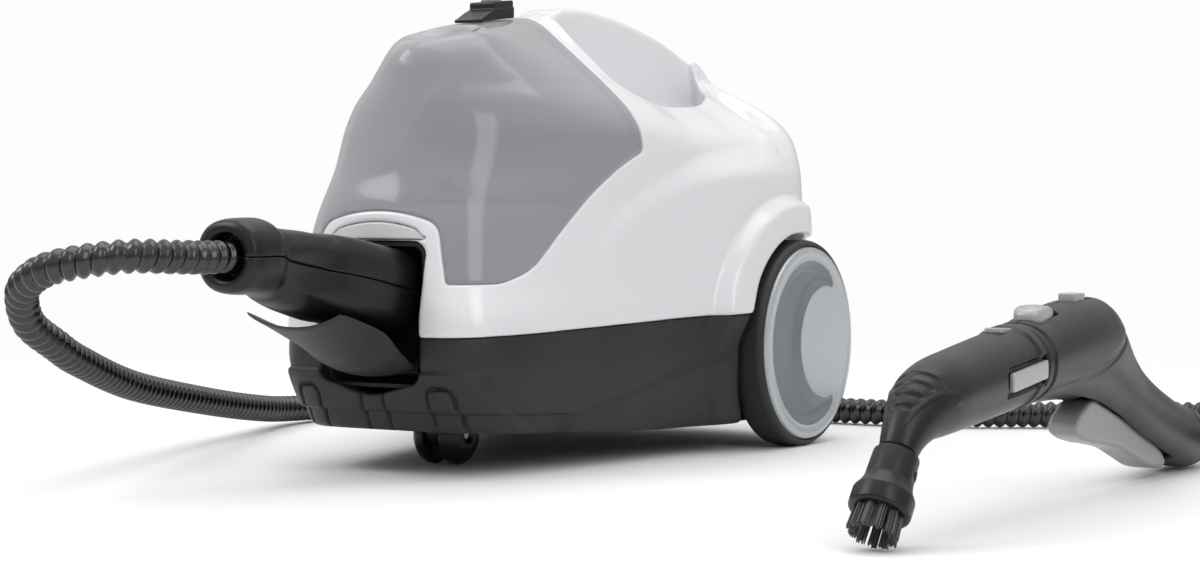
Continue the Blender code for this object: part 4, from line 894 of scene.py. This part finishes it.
def hose():
    path, run = spline(HOSE, HOSE_STEP)
    tangents = np.gradient(path, axis=0)
    tangents /= np.linalg.norm(tangents, axis=1)[:, None]
    # carry one normal along the path without twist
    normals = np.zeros_like(tangents)
    normal = np.array([0, 0, 1.0]) - tangents[0] * tangents[0][2]
    normal /= np.linalg.norm(normal)
    for i, tangent in enumerate(tangents):
        normal = normal - tangent * (normal @ tangent)
        normal /= np.linalg.norm(normal)
        normals[i] = normal
    sides = np.cross(tangents, normals)
    turn = angles(HOSE_SEGMENTS)
    # the ribs wind round as one helix
    phase = run[:, None] / HOSE_PITCH + turn[None, :] / math.tau
    wave = 0.5 + 0.5 * np.cos(phase * math.tau)
    radius = HOSE_ROOT + HOSE_RIB * wave ** 0.62
    points = path[:, None, :] + radius[..., None] * (
        np.cos(turn)[None, :, None] * normals[:, None, :]
        + np.sin(turn)[None, :, None] * sides[:, None, :])
    bm = bmesh.new()
    verts = add_points(bm, np.concatenate([points.reshape(-1, 3), path[:1], path[-1:]]))
    start, end = verts[-2:]
    add_grid(bm, verts, len(path), HOSE_SEGMENTS)
    add_fan(bm, start, verts[:HOSE_SEGMENTS])
    add_fan(bm, end, verts[-2 - HOSE_SEGMENTS:-2])
    return finish(bm, "hose_corrugated")


use(hose(), HOSE_GLOSS, "steam_gun", "hose_black", "steam_hose")

# ============================================================ rear wheels
# Profiles: radius, distance from the machine's centre plane
TYRE = [(50.5, 120.4), (50.5, 105), (52, 103.2), (59.2, 103.2), (61.4, 104.6), (62, 107),
        (62, 121.6), (61.2, 123.8), (59.8, 124.9), (58.6, 124.9), (58.3, 124.2),
        (58.3, 120.4)]
RIM = [(5.3, 120.6), (50.0, 120.6), (50.0, 108), (44, 108), (42, 116), (15, 116),
       (13, 101.5), (5.3, 101.5)]
CAP_FACE = 125.9        # cap heights are distances from the centre plane too
CAP_TOP = 126.95
CAP_BACK = 121.2
CAP_FLAT = 57.3         # radius where the edge starts to fall
CAP_RADIUS = 57.9
CAP_RINGS, CAP_SEGMENTS = ((120, 300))


def cap_hollow(radius, along, up):
    """Outline of the crescent hollow; along runs toward +Y. Negative inside."""
    inner_edge = 33.0 - length(along - 20.0, up)
    return meet(meet(radius - 50.0, inner_edge, 2.5), along - 33.0, 6.0)


def cap_height(radius, along, up):
    dome = 0.9 * (1 - (radius / 58) ** 2)
    rim_ring = 0.55 * ease(1 - np.abs(radius - 54.6) / 3.2)
    hollow = 2.9 * ease(-cap_hollow(radius, along, up) / 7.5)
    height = CAP_FACE + dome + rim_ring - hollow
    height = np.where(radius > CAP_FLAT, CAP_FACE + 0.03 - (radius - CAP_FLAT) * 2.4, height)
    return np.minimum(height, CAP_TOP)


def wheel_cap(name, side):
    radii = np.concatenate([np.linspace(0.0, CAP_FLAT, CAP_RINGS)[1:],
                            [57.55, 57.75, 57.85, CAP_RADIUS]])
    turns = angles(CAP_SEGMENTS)
    radius, turn = np.meshgrid(radii, turns, indexing="ij")
    along, up = radius * np.cos(turn), radius * np.sin(turn)
    front = np.stack([side * cap_height(radius, along, up), along, up + AXLE_Z], -1)
    back = [(side * CAP_BACK, CAP_RADIUS * math.cos(a), CAP_RADIUS * math.sin(a) + AXLE_Z)
            for a in turns]
    centres = [(side * float(cap_height(0.0, 0.0, 0.0)), 0, AXLE_Z),
               (side * CAP_BACK, 0, AXLE_Z)]
    bm = bmesh.new()
    verts = add_points(bm, np.concatenate([front.reshape(-1, 3), back, centres]))
    add_grid(bm, verts, len(radii), CAP_SEGMENTS)
    back_ring = verts[-2 - CAP_SEGMENTS:-2]
    bridge(bm, verts[-2 - 2 * CAP_SEGMENTS:-2 - CAP_SEGMENTS], back_ring)
    add_fan(bm, verts[-2], verts[:CAP_SEGMENTS])
    add_fan(bm, verts[-1], back_ring)
    return finish(bm, name, mesh_name="cap", sharp=50)


def paint_hollow(cap):
    """Second material on the faces that lie wholly inside the crescent."""
    me = cap.data
    me.materials.append(CAP_FLOOR)
    co = np.zeros(len(me.vertices) * 3)
    me.vertices.foreach_get("co", co)
    co = co.reshape(-1, 3) * 1000 + [0, 0, DROP]
    along, up = co[:, 1], co[:, 2] - AXLE_Z
    hollow = cap_hollow(length(along, up), along, up)
    for polygon in me.polygons:
        if all(hollow[i] < -0.4 for i in polygon.vertices):
            polygon.material_index = 1


for side, tag in ((1, "left"), (-1, "right")):
    hub, outward, carrier = (0, 0, AXLE_Z), (side, 0, 0), "wheel_" + tag
    use(lathe("tyre_ring_" + tag, fillet(TYRE, 0.8), hub, outward, 128),
        RUBBER, carrier, "tyre", "tyre_" + tag)
    use(lathe("wheel_disc_" + tag, fillet(RIM, 0.8), hub, outward, 96),
        BLACK, carrier, "black_plastic", "rim_" + tag)
    cap = wheel_cap("cap_disc_" + tag, side)
    use(cap, SILVER, carrier, "silver_cap", "wheel_cap_" + tag)
    paint_hollow(cap)

# ============================================================ front caster
# Profile: radius, distance from the centre plane
ROLLER = [(2.6, 5.2), (15.2, 5.2), (16.7, 6.0), (17.0, 7.6), (16.6, 9.6), (15.4, 11.6),
          (13.2, 13.4), (10.2, 14.8), (7.0, 15.35), (5.0, 15.2), (2.6, 14.0)]
ROLLER_Z = 17           # the roller's greatest radius, so it stands on the floor
for side, tag in ((1, "left"), (-1, "right")):
    use(lathe("caster_roller_" + tag, fillet(ROLLER, 0.5), (0, ROLLER_Y, ROLLER_Z),
              (side, 0, 0), 64),
        BLACK, "caster_wheel_" + tag[0], "black_plastic", "caster_wheel_" + tag)


def caster_fork(x, y, z):
    from_pivot = length(x, y - PIVOT_Y)
    leg = meet(rounded_box(y, z, ROLLER_Y - 3, 24, 24, 26, 9), np.abs(x) - 4.5, 1.2)
    plate = meet(from_pivot - 11.4, np.abs(z - 35.8) - 1.6, 0.8)
    stem = np.maximum(from_pivot - 4.95, np.abs(z - 40) - 6.1)
    solid = join(join(leg, plate, 2.0), stem, 0.8)
    return cut(solid, length(y - ROLLER_Y, z - ROLLER_Z) - 2.5, 0.4)


use(nets("caster_bracket", caster_fork, (-13, -229, 9), (13, -188, 48), 0.6),
    BLACK, "caster", "black_plastic", "caster_fork")

# ============================================================ hand gun
# Stations along y: underside, top, half width
GUN_Y = (-262, -256.5, -247, -236, -225, -203, -180, -160, -150, -142, -132, -124, -105, -82,
         -60, -40, -20, -8, 0, 7, 10)
GUN_LOW = (52, 51.8, 51.2, 51, 51, 50.5, 48, 44, 41, 38.5, 35.5, 32.5, 25.5, 18, 11, 5, 1.4,
           .6, 1.4, 4.5, 6)
GUN_TOP = (88, 88.8, 90.2, 91.5, 93.5, 96.6, 98.6, 99.0, 96.8, 92.5, 83.5, 76, 63.5, 53.5, 46,
           40, 36, 33, 30.5, 26.5, 25)
GUN_HALF = (19, 19.2, 20.0, 20.1, 20.2, 20.4, 20.4, 19.6, 18.8, 18.0, 17.2, 16.8, 16.4, 16.4,
            16.6, 17.0, 17.0, 16.6, 15.4, 11.5, 10)


def trigger_slot(x, y, z):
    edge = curve((-194, -183, -163, -133, -110, -89, -66, -50),
                 (46, 53.5, 57.5, 46, 37.5, 29.5, 19, 12), y)
    return np.maximum(np.maximum(np.abs(x) - 8.8, z - edge), np.maximum(-194 - y, y + 50))


def gun(x, y, z):
    x = x - GUN_X
    low, top = curve(GUN_Y, GUN_LOW, y), curve(GUN_Y, GUN_TOP, y)
    half = curve(GUN_Y, GUN_HALF, y)
    mid, tall = (low + top) / 2, (top - low) / 2
    power = curve((-250, -200, -120, 0), (2.1, 2.2, 2.5, 2.3), y)
    ratio = superellipse(np.abs(x) / half, np.abs(z - mid) / tall, power)
    solid = (ratio - 1) * np.minimum(half, tall) * 0.95
    # shoulder line along the head: a narrow groove, with the side above it fuller
    shoulder = curve((-256, -215, -180, -150, -131), (57, 60, 66, 76, 86), y)
    solid = (solid + 0.55 * ease(1 - np.abs(z - shoulder) / 2.6) * (y > -246) * (y < -128)
             - 0.35 * ease((z - shoulder) / 5.0) * (y < -126))
    # groove round the front end
    solid = solid + 1.5 * ease(1.2 - np.abs(y + 250.0) / 1.5)
    solid = meet(solid, -256.6 - y, 1.4)
    # butt: slanted groove, rounded end and hose bore
    solid = solid + 0.6 * ease(1 - np.abs(y + 0.45 * (z - 15) + 16) / 1.3)
    solid = meet(solid, y - 6.8, 3.5)
    solid = cut(solid, np.maximum(length(x, z - 15) - 9.3, -1.0 - y), 0.8)
    # trigger slot underneath, key and slider pockets on top
    solid = cut(solid, trigger_slot(x, y, z), 1.2)
    key_pocket = np.maximum(rounded_box(x, y, 0, KEY_Y, 17, 25, 2.5), 84.0 - z)
    solid = cut(solid, key_pocket, 0.8)
    slider_pocket = np.maximum(rounded_box(x, y, 0, SLIDER_Y, 11, 24, 2.5), 92.0 - z)
    return cut(solid, slider_pocket, 0.8)


def gun_left(x, y, z):
    return meet(gun(x, y, z), GUN_X + 0.16 - x, 0.8)


def gun_right(x, y, z):
    return meet(gun(x, y, z), x - GUN_X + 0.16, 0.8)


use(nets("gun_side_left", gun_left, (GUN_X - 1.5, -260, -3), (GUN_X + 24, 12, 104), 0.85),
    BLACK, "steam_gun", "black_plastic", "gun_left")
use(nets("gun_side_right", gun_right, (GUN_X - 24, -260, -3), (GUN_X + 1.5, 12, 104), 0.85),
    BLACK, "steam_gun", "black_plastic", "gun_right")


def trigger(x, y, z):
    x = x - GUN_X
    top = curve((-190, -184, -176, -166, -150, -133, -110, -89, -66, -57, -54),
                (36.5, 41.4, 44.8, 48.2, 44.4, 39.4, 32.8, 26.4, 16.5, 10.5, 6.5), y)
    low = curve((-190, -186, -168, -147, -126, -104, -77, -60, -54),
                (34.5, 31.6, 27, 24, 20.5, 14, 6.4, 4.4, 6.0), y)
    solid = np.maximum(z - top, low - z) * 0.8
    solid = meet(solid, np.abs(x) - 7.9 + 0.6 * ease((low + 3 - z) / 4), 2.0)
    return meet(solid, np.maximum(-189.2 - y, y + 55.4), 1.4)


use(nets("trigger_lever", trigger, (GUN_X - 10, -192, 2), (GUN_X + 10, -52, 48), 0.8),
    GREY, "trigger", "grey_plastic", "trigger")


def unlock_key(x, y, z):
    """Crowned oval key with an oval groove on top."""
    x = x - GUN_X
    along = y - KEY_Y
    solid = (superellipse(np.abs(x / 8.1), np.abs(along / 12.4), 2.6) - 1) * 8.0
    crown = 97.9 - 0.020 * along ** 2 - 0.012 * x * x
    solid = meet(solid, z - crown, 2.6)
    groove = np.abs(length(x / 5.2, along / 7.5) - 1) * 5.2
    solid = solid + 0.35 * ease(1 - groove / 0.9)
    return np.maximum(solid, 88.9 - z)


use(nets("unlock_key", unlock_key, (GUN_X - 9.5, -242, 88), (GUN_X + 9.5, -214, 100), 0.45),
    BUTTON_GREY, "unlock_button", "grey_plastic", "unlock_button")


def steam_slider(x, y, z):
    """Slider with cross grooves at a 2.4 mm pitch on top."""
    pitch = 2.4
    along = y - SLIDER_Y
    solid = rounded_box(x - GUN_X, y, 0, SLIDER_Y, 9.8, 13.8, 2.0)
    solid = meet(solid, z - 101.9, 0.9)
    groove = np.abs(np.mod(along + pitch / 2, pitch) - pitch / 2)
    solid = solid + 0.4 * ease(1 - groove / 0.6) * (z > 100.6) * (np.abs(along) < 5)
    return np.maximum(solid, 96.1 - z)


use(nets("steam_slider", steam_slider, (GUN_X - 6.5, -186, 95), (GUN_X + 6.5, -168, 105), 0.4),
    BUTTON_GREY, "selector", "grey_plastic", "steam_selector")

# ============================================================ spot nozzle
# Stations: y, z, radius
NOZZLE = np.array([
    (-257.2, 70.0, 18.6), (-259.0, 69.8, 20.2), (-264.5, 69.2, 20.3), (-267, 69.0, 19.2),
    (-279, 67.6, 19.1), (-294, 66.2, 18.8), (-322, 63.4, 18.3), (-340, 61.6, 17.8),
    (-352, 59.6, 16.8), (-363, 56.2, 14.6), (-372, 51.2, 12.0), (-379, 45.6, 9.9),
    (-384.3, 39.6, 8.5)])
NOZZLE_ROWS = 260
NOZZLE_SEGMENTS = 140
# up the axis shared by the nozzle's tip and the brush
BRUSH_AXIS = np.array([0, 0.6247, 0.7809])
CROSSWAYS = np.array([1.0, 0, 0])


def above_bar(y, z):
    """Height above the slanting line of the lock bars."""
    return z - (66.5 + 0.10 * (y + 284))


def unit(a, b):
    size = length(a, b)
    return a / size, b / size


def nozzle():
    run = np.concatenate([[0], np.cumsum(np.linalg.norm(np.diff(NOZZLE[:, :2], axis=0),
                                                        axis=1))])
    along = np.linspace(0, run[-1], NOZZLE_ROWS)
    mid_y, mid_z, round_radius = (curve(run, column, along)[:, None] for column in NOZZLE.T)
    along = along[:, None]
    # sections start square to Y and turn onto the path
    dir_y, dir_z = unit(np.gradient(mid_y[:, 0])[:, None], np.gradient(mid_z[:, 0])[:, None])
    turned = ease((along - 12) / 20)
    dir_y, dir_z = unit(-1 + (dir_y + 1) * turned, dir_z * turned)
    theta = angles(NOZZLE_SEGMENTS)
    cross, up = np.cos(theta)[None, :], np.sin(theta)[None, :]

    def place(radius):
        return mid_y + radius * up * dir_z, mid_z - radius * up * dir_y

    # side recesses for the lock bars
    y, z = place(round_radius)
    rise = above_bar(y, z)
    recess = np.where(y > -292, np.abs(rise) - 7.6,
                      rounded_box(y, rise, -284, 0, 42, 15.2, 5.5))
    radius = (round_radius
              - 2.6 * ease(-recess / 1.3) * ease((np.abs(cross) - 0.55) / 0.15))
    # slats on the neck, 5.6 mm apart, in a narrowing field with a raised border
    neck = along - run[-1] + 34.0
    reach = 0.86 - 0.022 * np.clip(neck, 0, 30)
    slat = ease(1.3 - np.abs(np.mod(neck + 1.0, 5.6) - 2.8) / 1.15)
    within = ease((reach - np.abs(cross)) / 0.10) * (up > 0.1) * (neck > -1) * (neck < 22.4)
    radius = radius - 1.0 * slat * within
    border = ease(1 - np.abs(np.abs(cross) - reach - 0.12) / 0.10)
    radius = radius + 0.5 * border * (up > 0.0) * (neck > -3) * (neck < 26)

    bm = bmesh.new()
    verts = add_points(bm, np.stack([GUN_X + radius * cross, *place(radius)],
                                    -1).reshape(-1, 3))
    add_grid(bm, verts, NOZZLE_ROWS, NOZZLE_SEGMENTS)
    # straight outlet at the tip
    tip = np.array([GUN_X, *NOZZLE[-1, :2]])
    outlet_up = np.array([0, -BRUSH_AXIS[2], BRUSH_AXIS[1]])
    ring = verts[-NOZZLE_SEGMENTS:]
    for offset in (0.6, 9.8):
        following = add_ring(bm, tip - BRUSH_AXIS * offset, 7.3, CROSSWAYS, outlet_up,
                             NOZZLE_SEGMENTS)
        bridge(bm, ring, following)
        ring = following
    bm.faces.new(ring)
    bm.faces.new(verts[:NOZZLE_SEGMENTS][::-1])
    return finish(bm, "nozzle_shell", mesh_name="nozzle", sharp=45)


use(nozzle(), BLACK, "nozzle", "black_plastic", "spot_nozzle")

for side, tag in ((1, "left"), (-1, "right")):
    def lock_bar(x, y, z):
        rise = above_bar(y, z)
        outline = np.where(y > -286, np.abs(rise) - 4.4,
                           rounded_box(y, rise, -280, 0, 40, 8.8, 2.6))
        bow = 18.1 * np.sqrt(np.clip(1 - (rise / 30.0) ** 2, 0.2, 1))
        solid = meet(outline, np.abs((x - GUN_X) * side - bow) - 1.3, 0.8)
        return np.maximum(solid, y + 257.6)

    low_x, high_x = sorted((GUN_X + side * 16, GUN_X + side * 21))
    use(nets("lock_bar_skin_" + tag, lock_bar, (low_x, -303, 58), (high_x, -255, 77), 0.45),
        BUTTON_GREY, "nozzle", "grey_plastic", "lock_bar_" + tag)


def nozzle_tab(x, y, z):
    return meet(rounded_box(x - GUN_X, y, 0, -268, 9, 22, 1.6),
                np.abs(z - 87.1 + 0.045 * (y + 268)) - 1.3, 0.7)


use(nets("nozzle_tab", nozzle_tab, (GUN_X - 6, -281, 83), (GUN_X + 6, -255, 91), 0.5),
    BUTTON_GREY, "nozzle", "grey_plastic")

# ============================================================ round brush
BRUSH_CENTRE = np.array([GUN_X, -409.5, 8.2])
BRUSH_UP = np.cross(BRUSH_AXIS, CROSSWAYS)
# Profile: radius, height up the brush axis
HOLDER = [(0, 22), (7.9, 22), (7.9, 38.6), (10.3, 38.6), (10.7, 25), (11.8, 21.5),
          (13.8, 18.0), (13.8, 10.2), (12.6, 9.0), (0, 9.0)]
TUFTS, BRISTLES_PER_TUFT = 11, 34
TUFT_CIRCLE, TUFT_RADIUS = 9.6, 2.2
BRISTLE_SIDES, BRISTLE_RADIUS = 5, 0.34
# Profile of an air hole's rim: radius, distance from the brush axis
AIR_HOLE = [(0, 10.2), (1.9, 10.2), (2.5, 10.65), (1.4, 10.72), (0, 10.55)]


def brush_side(turn):
    """Direction square to the brush axis."""
    return math.cos(turn) * CROSSWAYS + math.sin(turn) * BRUSH_UP


def bristles():
    rng = np.random.default_rng(7)
    bm = bmesh.new()
    for tuft in range(TUFTS):
        centre = TUFT_CIRCLE * brush_side(tuft / TUFTS * math.tau + 0.2)
        for _ in range(BRISTLES_PER_TUFT):
            spread_radius = TUFT_RADIUS * math.sqrt(rng.random())
            offset = centre + spread_radius * brush_side(rng.random() * math.tau)
            splay = ((offset / 26.0) + 0.03 * (rng.random() - 0.5) * CROSSWAYS
                     + 0.03 * (rng.random() - 0.5) * BRUSH_UP)
            bristle_length = 10.6 + rng.random() * 0.9
            root = BRUSH_CENTRE + BRUSH_AXIS * 9.6 + offset * 0.92
            end = root - BRUSH_AXIS * bristle_length + splay * 1.8
            end[2] = max(end[2], 0.55)      # stays above the floor
            top, bottom = (add_ring(bm, place, radius, CROSSWAYS, BRUSH_UP, BRISTLE_SIDES)
                           for place, radius in ((root, BRISTLE_RADIUS),
                                                 (end, BRISTLE_RADIUS * 0.8)))
            bridge(bm, top, bottom)
            bm.faces.new(top[::-1])
            bm.faces.new(bottom)
    return finish(bm, "brush_bristles", mesh_name="bristles", smooth=False)


use(lathe("brush_holder", fillet(HOLDER, 0.7, closed=False), BRUSH_CENTRE, BRUSH_AXIS, 96),
    BLACK, "brush", "black_plastic", "round_brush")
use(bristles(), BRISTLE, "brush", "black_plastic")
# height up the brush axis, turn round it in degrees
for k, (height, turn) in enumerate(((30.5, 18), (24.0, 14))):
    use(lathe("air_hole_%d" % k, AIR_HOLE, BRUSH_CENTRE + BRUSH_AXIS * height,
              brush_side(math.radians(turn)), 24),
        RECESS, "brush", "black_plastic")

# ============================================================ finishes for the CAD parts that stay
FINISHES = (
    (RECESS, "socket_recess"),
    (STEEL, "steam_socket flap_pin boiler_upper boiler_lower heating_element steam_pipe "
            "axle_left axle_right caster_axle"),
    (BOARD, "indicator_board control_board"),
    (BRASS, "safety_valve plug_nozzle"),
    (GREY, "boiler_thermostat water_pump"),
    (BLACK, "solenoid_valve tank_dock_valve mains_plug cable_gland tank_valve"),
    (RUBBER, "pump_mount"),
    (TUBE, "suction_hose feed_hose"),
    (CHARCOAL, "cable_tray"),
    (CABLE, "mains_cable"),
    (SMOKE, "tank_floor tank_vent_pipe"))
FINISH_OF = {name: material for material, names in FINISHES for name in names.split()}
for name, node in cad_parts.items():
    if name in FINISH_OF:
        paint(node, FINISH_OF[name])


# ============================================================ floor, world, lights, camera
def floor_material():
    """Matt near white that fades into a plain glow away from the machine."""
    material = bpy.data.materials.new("floor")
    tree, surface = principled(material)
    wire = tree.links.new
    fill(surface, {"Base Color": (0.90, 0.90, 0.90, 1), "Roughness": 0.6})
    geometry = add_node(tree, "NewGeometry")
    distance = add_node(tree, "VectorMath", operation="DISTANCE")
    distance.inputs[1].default_value = (0.1, -0.15, -0.016)
    wire(geometry.outputs["Position"], distance.inputs[0])
    fade = add_node(tree, "MapRange", {"From Min": 0.45, "From Max": 1.25},
                    interpolation_type="SMOOTHSTEP")
    wire(distance.outputs["Value"], fade.inputs["Value"])
    glow = add_node(tree, "Emission", {"Color": (0.98, 0.98, 0.98, 1)})
    mix = add_node(tree, "MixShader")
    wire(fade.outputs["Result"], mix.inputs["Fac"])
    wire(surface.outputs["BSDF"], mix.inputs[1])
    wire(glow.outputs["Emission"], mix.inputs[2])
    wire(mix.outputs["Shader"], tree.nodes["Material Output"].inputs["Surface"])
    return material


def make_floor():
    me = bpy.data.meshes.new("floor")
    bm = bmesh.new()
    bmesh.ops.create_grid(bm, x_segments=1, y_segments=1, size=6.0)
    bm.to_mesh(me)
    bm.free()
    floor = link("floor", me)
    floor.location = (0, 1.0, -DROP * 0.001 - 0.0002)
    me.materials.append(floor_material())


def make_world():
    """Vertical grey gradient for light and reflections, plain near white to the camera."""
    world = bpy.data.worlds.new("studio")
    bpy.context.scene.world = world
    world.use_nodes = True
    tree = world.node_tree
    wire = tree.links.new
    background = tree.nodes["Background"]
    coords = add_node(tree, "TexCoord")
    split = add_node(tree, "SeparateXYZ")
    wire(coords.outputs["Generated"], split.inputs["Vector"])
    ramp = add_node(tree, "ValToRGB")
    stops = ramp.color_ramp.elements
    stops[0].position = 0.0
    stops[0].color = (0.55, 0.55, 0.56, 1)
    stops[1].position = 1.0
    stops[1].color = (1.0, 1.0, 1.0, 1)
    for position, grey in ((0.45, 0.42), (0.62, 0.50), (0.80, 0.95)):
        stops.new(position).color = (grey, grey, grey * 1.01, 1)
    height = add_node(tree, "MapRange", {"From Min": -1.0})
    wire(split.outputs["Z"], height.inputs["Value"])
    wire(height.outputs["Result"], ramp.inputs["Fac"])
    rays = add_node(tree, "LightPath")
    mix = add_node(tree, "Mix", data_type="RGBA")
    wire(rays.outputs["Is Camera Ray"], mix.inputs["Factor"])
    wire(ramp.outputs["Color"], mix.inputs["A"])
    mix.inputs["B"].default_value = (0.98, 0.98, 0.98, 1)
    wire(mix.outputs["Result"], background.inputs["Color"])
    background.inputs["Strength"].default_value = 1.0


def area(name, place, target, size, power, size_y=None):
    light = bpy.data.lights.new(name, "AREA")
    light.energy = power
    light.shape = "RECTANGLE"
    light.size = size
    light.size_y = size_y or size
    ob = link(name, light)
    ob.location = place
    aim = Vector(target) - Vector(place)
    ob.rotation_euler = aim.to_track_quat("-Z", "Y").to_euler()


def make_camera():
    camera = bpy.data.cameras.new("camera")
    camera.sensor_width = 36
    camera.sensor_fit = "HORIZONTAL"
    camera.lens = 77.1
    camera.clip_end = 20
    ob = link("camera", camera)
    ob.location = (0.815, -1.393, 0.148 - DROP * 0.001)
    ob.rotation_euler = (math.radians(88.1), 0, math.radians(31))
    bpy.context.scene.camera = ob


make_floor()
make_world()
bpy.context.scene.view_settings.view_transform = "Standard"
area("key", place=(-1.2, -1.1, 1.6), target=(0, -0.1, 0.1), size=0.9, power=11)
area("top", place=(0.1, 0.1, 1.9), target=(0.1, -0.1, 0.0), size=1.5, power=12)
area("side", place=(1.5, -0.9, 1.0), target=(0.1, -0.05, 0.1), size=0.5, power=5, size_y=1.2)
make_camera()
